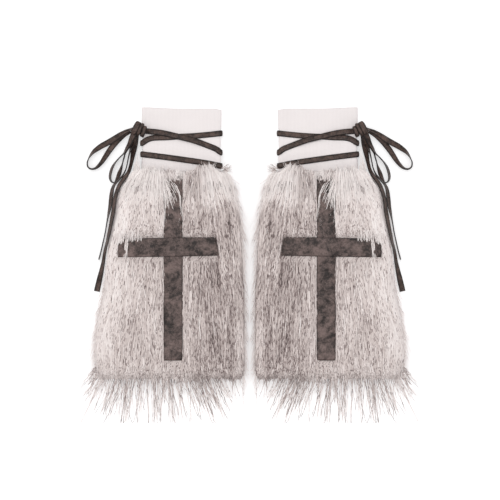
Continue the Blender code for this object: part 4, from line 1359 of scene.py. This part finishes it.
crownHair = {
    "count": 1650, "steps": 7, "length": (0.030, 0.078), "width": (0.6 * mm, 1.3 * mm),
    "rootDown": (0.5 * mm, 13 * mm), "rise": (2.0 * mm, 8.0 * mm), "held": 0.3,
    "leather": (1 * mm, 31 * mm), "overLeather": (9, 13, 24), "uneven": (0.9, 170, 0, 11.0),
    "turn": 5.0, "standing": (0.25, 1.1), "archEnd": 0.75, "fanned": 0.35, "lift": 0.5 * mm,
    "tipLift": (0.0, 1.5), "crimp": (0.1, 0.8), "waves": (0.5, 1.0), "kind": (0.02, 0.04),
    "inset": 1 * mm, "pastHem": 5 * mm, "rooted": 0.9,
    "back": (  # out, and how far the hair stands back over the cuff there, in mm
        (-74, 5), (-67, 3), (-60, 6), (-54, 14), (-48, 18), (-40, 16), (-31, 12), (-23, 7), (-14, 4), (-4, 4),
        (3, 4), (13, 5), (23, 9), (37, 9), (52, 10), (69, 8)),
    "browns": ((0.023, 0.007, 0.30), (-0.024, 0.012, 0.62)),  # out, reach, how brown
}


def crownBack(out):
    return float(np.interp(out / mm, *zip(*crownHair["back"]))) * mm


def makeCrownHair(tree):
    # long pale hairs that stand back over the seam, then fall down the panel
    rng = np.random.default_rng(13)
    hairs = []
    steps = crownHair["steps"]
    share, normals = shares(steps), levelNormals(steps, 0.15)
    held = np.maximum(share - crownHair["held"], 0.0) / (1.0 - crownHair["held"])
    arch = np.sin(np.pi * np.minimum(share / crownHair["archEnd"], 1.0))
    while len(hairs) < crownHair["count"]:
        down = furTop + rng.uniform(*crownHair["rootDown"])
        out = rng.uniform(innerEdge(down) + crownHair["inset"], outerEdge(down) - crownHair["inset"])
        length = rng.uniform(*crownHair["length"])
        start, end = crownHair["leather"]
        onLeather = start < out < end
        if onLeather:
            least, left, right = crownHair["overLeather"]
            length = rng.uniform(least, left if out < cross["middle"] else right) * mm
        turn = rng.normal(0.0, crownHair["turn"])
        route = combPath(tree, out, down, turn, length, steps, crownHair["pastHem"], over=onLeather)
        if route is None:
            continue
        path = np.stack([np.interp(held, share, route[0][:, i]) for i in range(3)], axis=1)
        uneven = rng.uniform(*crownHair["standing"]) * (1.0 + rumple(crownHair["uneven"], out))
        back = crownBack(out) * uneven + crownHair["rooted"] * (down - furTop)
        hump = crown["hump"][0] if out > crown["notch"] else crown["hump"][1]
        path[:, 0] -= crownHair["fanned"] * back * (out - hump) / crown["half"][0] * arch
        path[:, 1] += back * arch
        path[:, 2] += rng.uniform(*crownHair["rise"]) * arch
        path = lifted(path, normals, crownHair["lift"], rng.uniform(*crownHair["tipLift"]) * mm)
        path = crimped(path, normals, rng.uniform(*crownHair["crimp"]) * mm, rng.uniform(*crownHair["waves"]),
                       rumple(locks["wave"], out, down))
        kind = abs(rng.normal(*crownHair["kind"]))
        for middle, reach, brown in crownHair["browns"]:
            kind += brown * rng.random() * hill(out, middle, reach)
        hairs.append((path, normals, rng.uniform(*crownHair["width"]), kind))
    addHairs("crown_hair", hairs, ("top_hair",))


overHair = {  # loose hairs: count, out from and to, down from and to, length, turn, lift, how dark
    "cross_top": (70, (0.022, 0.044), (0.112, 0.126), (0.025, 0.095), (-7.0, 7.0), (1 * mm, 3 * mm), 0.08),
    "cross_left": (34, (0.024, 0.034), (0.110, 0.119), (0.012, 0.032), (-4.0, 6.0), (1 * mm, 3 * mm), 0.06),
    "cross_corner": (34, (-0.004, 0.018), (0.110, 0.118), (0.009, 0.018), (4, 20), (1 * mm, 3 * mm), 0.55),
    "bar_end": (54, (0.097, 0.110), (0.211, 0.219), (0.024, 0.031), (0.0, 3.0), (1.2 * mm, 2.4 * mm), 0.12),
    "bar_gap": (17, (0.0885, 0.0925), (0.210, 0.226), (0.034, 0.056), (0.0, 1.5), (1.8 * mm, 3.0 * mm), 0.18),
    "bar_edge": (56, (0.066, 0.096), (0.205, 0.221), (0.012, 0.030), (0.0, 4.0), (0.5 * mm, 1.5 * mm), 0.10),
}
looseForm = {
    "steps": 6, "pastHem": 5 * mm, "clear": 2.0 * mm, "tipLift": 3.5 * mm, "crimp": (0.1, 0.6),
    "waves": (0.6, 1.6), "width": (0.5, 1.1),
}


def makeOverHair(tree):
    # long hairs that fall over the leather
    rng = np.random.default_rng(17)
    hairs = []
    for count, outs, downs, lengths, (turn, spread), lifts, kind in overHair.values():
        for _ in range(count):
            out, down = rng.uniform(*outs), rng.uniform(*downs)
            leaning, length = rng.normal(turn, spread), rng.uniform(*lengths)
            path, normals = combPath(tree, out, down, leaning, length, looseForm["steps"],
                                     looseForm["pastHem"], over=True)
            path = lifted(path, normals, rng.uniform(*lifts) + looseForm["clear"], looseForm["tipLift"])
            path = crimped(path, normals, rng.uniform(*looseForm["crimp"]) * mm,
                           rng.uniform(*looseForm["waves"]), rng.uniform(0, wholeTurn))
            hairs.append((path, normals, rng.uniform(*looseForm["width"]) * mm, abs(rng.normal(0.0, kind))))
    addHairs("hair_over_cross", hairs)


wisps = {
    "side": (  # count, out from and to, length: beside the cuff, and low over its corner
        (120, (0.070, 0.083), (0.008, 0.050)),
        (110, (0.044, 0.074), (0.006, 0.019)),
    ),
    "sidePower": 1.6, "besideCuff": 0.060, "nearestOut": 0.0712, "sideRoot": 3 * mm, "sideUp": (20.0, 24.0),
    "sideTurn": (2.0, 9.0), "sideBow": 3.0, "sideKind": 0.02,
    "tufts": (  # over the inner end of the lowest pass: count, out from and to, heading, spread, length
        (60, (-0.058, -0.033), 178.0, 22.0, (0.008, 0.017)),
        (26, (-0.076, -0.066), 236.0, 16.0, (0.012, 0.021)),
    ),
    "tuftRoot": (-6.0, 2.0), "tuftUp": (21.0, 27.0), "tuftBow": 2.0, "tuftSink": (0.0, 5.0),
    "tuftKind": (0.0, 0.7),
    "flyaway": {  # hairs that leave the outline, most of all at the shoulders: count, sign, kind
        "edges": ((560, 1, 0.11), (640, -1, 0.05)),
        "length": (0.014, 0.042), "width": (0.4 * mm, 0.8 * mm), "power": 1.3, "slopeReach": 5 * mm,
        "top": 6 * mm, "hem": 2 * mm, "middleGap": 1.0 * mm, "inset": (0.5, 5.0), "turn": (5.0, 7.0),
        "up": (10.0, 22.0), "bow": (2.0, 2.0), "sink": (0.0, 6.0), "kindSpread": 0.08,
    },
    "width": (0.6, 1.1), "steps": 4,
}


def freeHair(start, heading, length, bow, sink):
    # a loose hair that leaves its root in one direction, in degrees from straight down the leg outwards
    share = shares(wisps["steps"])
    turn = math.radians(heading)
    path = np.tile(tuple(start), (len(share), 1))
    path[:, 0] += -math.sin(turn) * length * share + math.cos(turn) * bow * share**2
    path[:, 1] += -math.cos(turn) * length * share - math.sin(turn) * bow * share**2
    path[:, 2] -= sink * share**2
    return path


def makeWisps():
    rng = np.random.default_rng(19)
    hairs = []
    upright = levelNormals(wisps["steps"])
    for count, outs, (shortest, longest) in wisps["side"]:
        for _ in range(count):
            # fine hairs that stand up beside the cuff, behind the bow's tails
            length = shortest + (longest - shortest) * rng.random() ** wisps["sidePower"]
            out = rng.uniform(*outs)
            start = place(out, furTop + wisps["sideRoot"], rng.uniform(*wisps["sideUp"]) * mm)
            heading = 180.0 - rng.normal(*wisps["sideTurn"])
            path = freeHair(start, heading, length, rng.normal(0.0, wisps["sideBow"]) * mm, 0.0)
            if outs[0] > wisps["besideCuff"]:
                path[:, 0] = np.minimum(path[:, 0], place(wisps["nearestOut"], 0.0, 0.0).x)
            width = rng.uniform(*wisps["width"]) * mm
            hairs.append((path, upright, width, abs(rng.normal(0.0, wisps["sideKind"]))))
    for count, outs, heading, spread, lengths in wisps["tufts"]:
        for _ in range(count):
            out, down = rng.uniform(*outs), furTop + rng.uniform(*wisps["tuftRoot"]) * mm
            start = place(out, down, rng.uniform(*wisps["tuftUp"]) * mm)
            path = freeHair(start, heading + rng.normal(0.0, spread), rng.uniform(*lengths),
                            rng.normal(0.0, wisps["tuftBow"]) * mm, rng.uniform(*wisps["tuftSink"]) * mm)
            hairs.append((path, upright, rng.uniform(*wisps["width"]) * mm, rng.uniform(*wisps["tuftKind"])))
    flyaway = wisps["flyaway"]
    for count, sign, kind in flyaway["edges"]:
        edge = outerEdge if sign > 0 else innerEdge
        for _ in range(count):
            reach = furHem - furTop - flyaway["top"] - flyaway["hem"]
            down = furTop + flyaway["top"] + reach * rng.random() ** flyaway["power"]
            out = edge(down) - sign * rng.uniform(*flyaway["inset"]) * mm
            slope = edgeSlope(edge, down, flyaway["slopeReach"])
            heading = math.degrees(math.atan(slope)) + sign * abs(rng.normal(*flyaway["turn"]))
            high = rng.uniform(*flyaway["up"]) * mm
            path = freeHair(place(out, down, high), heading, rng.uniform(*flyaway["length"]),
                            -sign * rng.normal(*flyaway["bow"]) * mm, rng.uniform(*flyaway["sink"]) * mm)
            path[:, 0] = np.minimum(path[:, 0], -flyaway["middleGap"])
            width = rng.uniform(*flyaway["width"])
            hairs.append((path, upright, width, kind + rng.normal(0.0, flyaway["kindSpread"])))
    addHairs("loose_wisps", hairs)


fringe = {
    "locks": 46, "hairs": 3, "single": 145, "corner": 30, "steps": 9,
    "length": (0.040, 0.106), "lengthPower": 0.9, "cornerLength": (0.020, 0.050),
    "width": (0.7 * mm, 1.35 * mm), "fan": 34.0, "fanShare": 0.3, "lean": 23.0, "leanFrom": (0.44, 0.58),
    "cornerRise": (3 * mm, 28 * mm), "cornerTurn": (30.0, 9.0),
    "crimp": (0.3 * mm, 0.9 * mm), "wave": 12 * mm, "droop": 0.055, "pastSolids": 5.0 * mm,
    "outerInset": 1.5 * mm,
    "innerThin": (0.36, 0.70, 0.16), "kind": (0.25, 0.11), "spread": (6.0, 2.5, 11.0), "root": (2.0, 10.0),
    "highest": 22.0 * mm, "rootDepth": 14.0 * mm, "depthPower": 1.5, "end": (1.0, 3.5), "fanPower": 1.2,
    "gathered": 0.8, "apart": 1.6, "phase": 0.5, "tip": 0.38, "spaced": (0.1, 0.9), "shorter": (0.6, 1.0),
    "sparse": (0.1, 2),  # near the outer corner a lock has only two hairs
}


def fringeHair(share, heading, length, rng, aside=0.0, phase=0.0, rise=None):
    # one crimped hair from the hem, which droops on to the floor
    steps = fringe["steps"]
    down = furHem - (rng.uniform(*fringe["root"]) * mm if rise is None else rise)
    outer, inner = outerEdge(down) - fringe["outerInset"], innerEdge(down)
    turn = math.radians(heading)
    high = fringe["highest"] - fringe["rootDepth"] * rng.random() ** fringe["depthPower"]
    low = rng.uniform(*fringe["end"]) * mm
    root = place(outer + (inner - outer) * share, down, high)
    part = shares(steps)
    path = np.tile(tuple(root), (steps + 1, 1))
    path[:, 0] += -math.sin(turn) * length * part + aside * (1.0 - fringe["gathered"] * part)
    path[:, 1] += -math.cos(turn) * length * part
    path[:, 2] -= np.array([ease(length * p / fringe["droop"]) for p in part]) * (high - low)
    normals = levelNormals(steps)
    path = crimped(path, normals, rng.uniform(*fringe["crimp"]), length / fringe["wave"], phase)
    path[:, 1] = np.maximum(path[:, 1], cadLow.y - fringe["pastSolids"])
    kind, spread = fringe["kind"]
    return path, normals, rng.uniform(*fringe["width"]), rng.normal(kind * fringeFull(share), spread)


def fringeHeading(share):
    # the hairs fan out at the outer corner and lean back towards the inner one
    corner = max(1.0 - share / fringe["fanShare"], 0.0)
    start, reach = fringe["leanFrom"]
    lean = math.sin(math.pi * min(max((share - start) / reach, 0.0), 1.0))
    return fringe["fan"] * corner ** fringe["fanPower"] - fringe["lean"] * lean


def fringeFull(share):
    # how full the fringe is: towards the inner corner it has fewer, shorter and paler hairs
    thin, start, reach = fringe["innerThin"]
    return 1.0 - thin * rising(share, start, reach)


def makeFringe():
    rng = np.random.default_rng(11)
    hairs = []
    shortest, longest = fringe["length"]
    ofLock, inLock, ofSingle = fringe["spread"]
    sparseEnd, sparseHairs = fringe["sparse"]
    for index in range(fringe["locks"]):
        share = (index + rng.uniform(*fringe["spaced"])) / fringe["locks"]
        heading = fringeHeading(share) + rng.normal(0.0, ofLock)
        length = shortest + (longest - shortest) * rng.random() ** fringe["lengthPower"]
        phase = rng.uniform(0, wholeTurn)
        full = fringeFull(share)
        if rng.random() > full:
            continue
        length *= full
        for _ in range(fringe["hairs"] if share > sparseEnd else sparseHairs):
            turned, shorter = heading + rng.normal(0.0, inLock), length * rng.uniform(*fringe["shorter"])
            hairs.append(fringeHair(share, turned, shorter, rng, rng.normal(0.0, fringe["apart"]) * mm,
                                    phase + rng.normal(0.0, fringe["phase"])))
    for _ in range(fringe["single"]):
        share = rng.random()
        full = fringeFull(share)
        length = (shortest + (longest - shortest) * rng.random() ** fringe["lengthPower"]) * full
        if rng.random() > full:
            continue
        hairs.append(fringeHair(share, fringeHeading(share) + rng.normal(0.0, ofSingle), length, rng, 0.0,
                                rng.uniform(0, wholeTurn)))
    for _ in range(fringe["corner"]):
        # hairs that fan out from the hem's outer corner
        heading, length = rng.normal(*fringe["cornerTurn"]), rng.uniform(*fringe["cornerLength"])
        hairs.append(fringeHair(0.0, heading, length, rng, 0.0, rng.uniform(0, wholeTurn),
                                rng.uniform(*fringe["cornerRise"])))
    addHairs("hem_fringe", hairs, ("hem_hair_front", "hem_hair_back"), tip=fringe["tip"], finish="fringe")


def makeFur():
    frontPile, backPile = makePile("front"), makePile("back")
    print("pile made")
    tree = evaluatedTree(frontPile[0])
    makeBodyHair(tree)
    makeCrownHair(tree)
    makeOverHair(tree)
    makeWisps()
    makeFringe()


makeCamera()
makeStudio()
makeLace()
makeCuff()
makeCross()
makeFur()

print("scene ready")
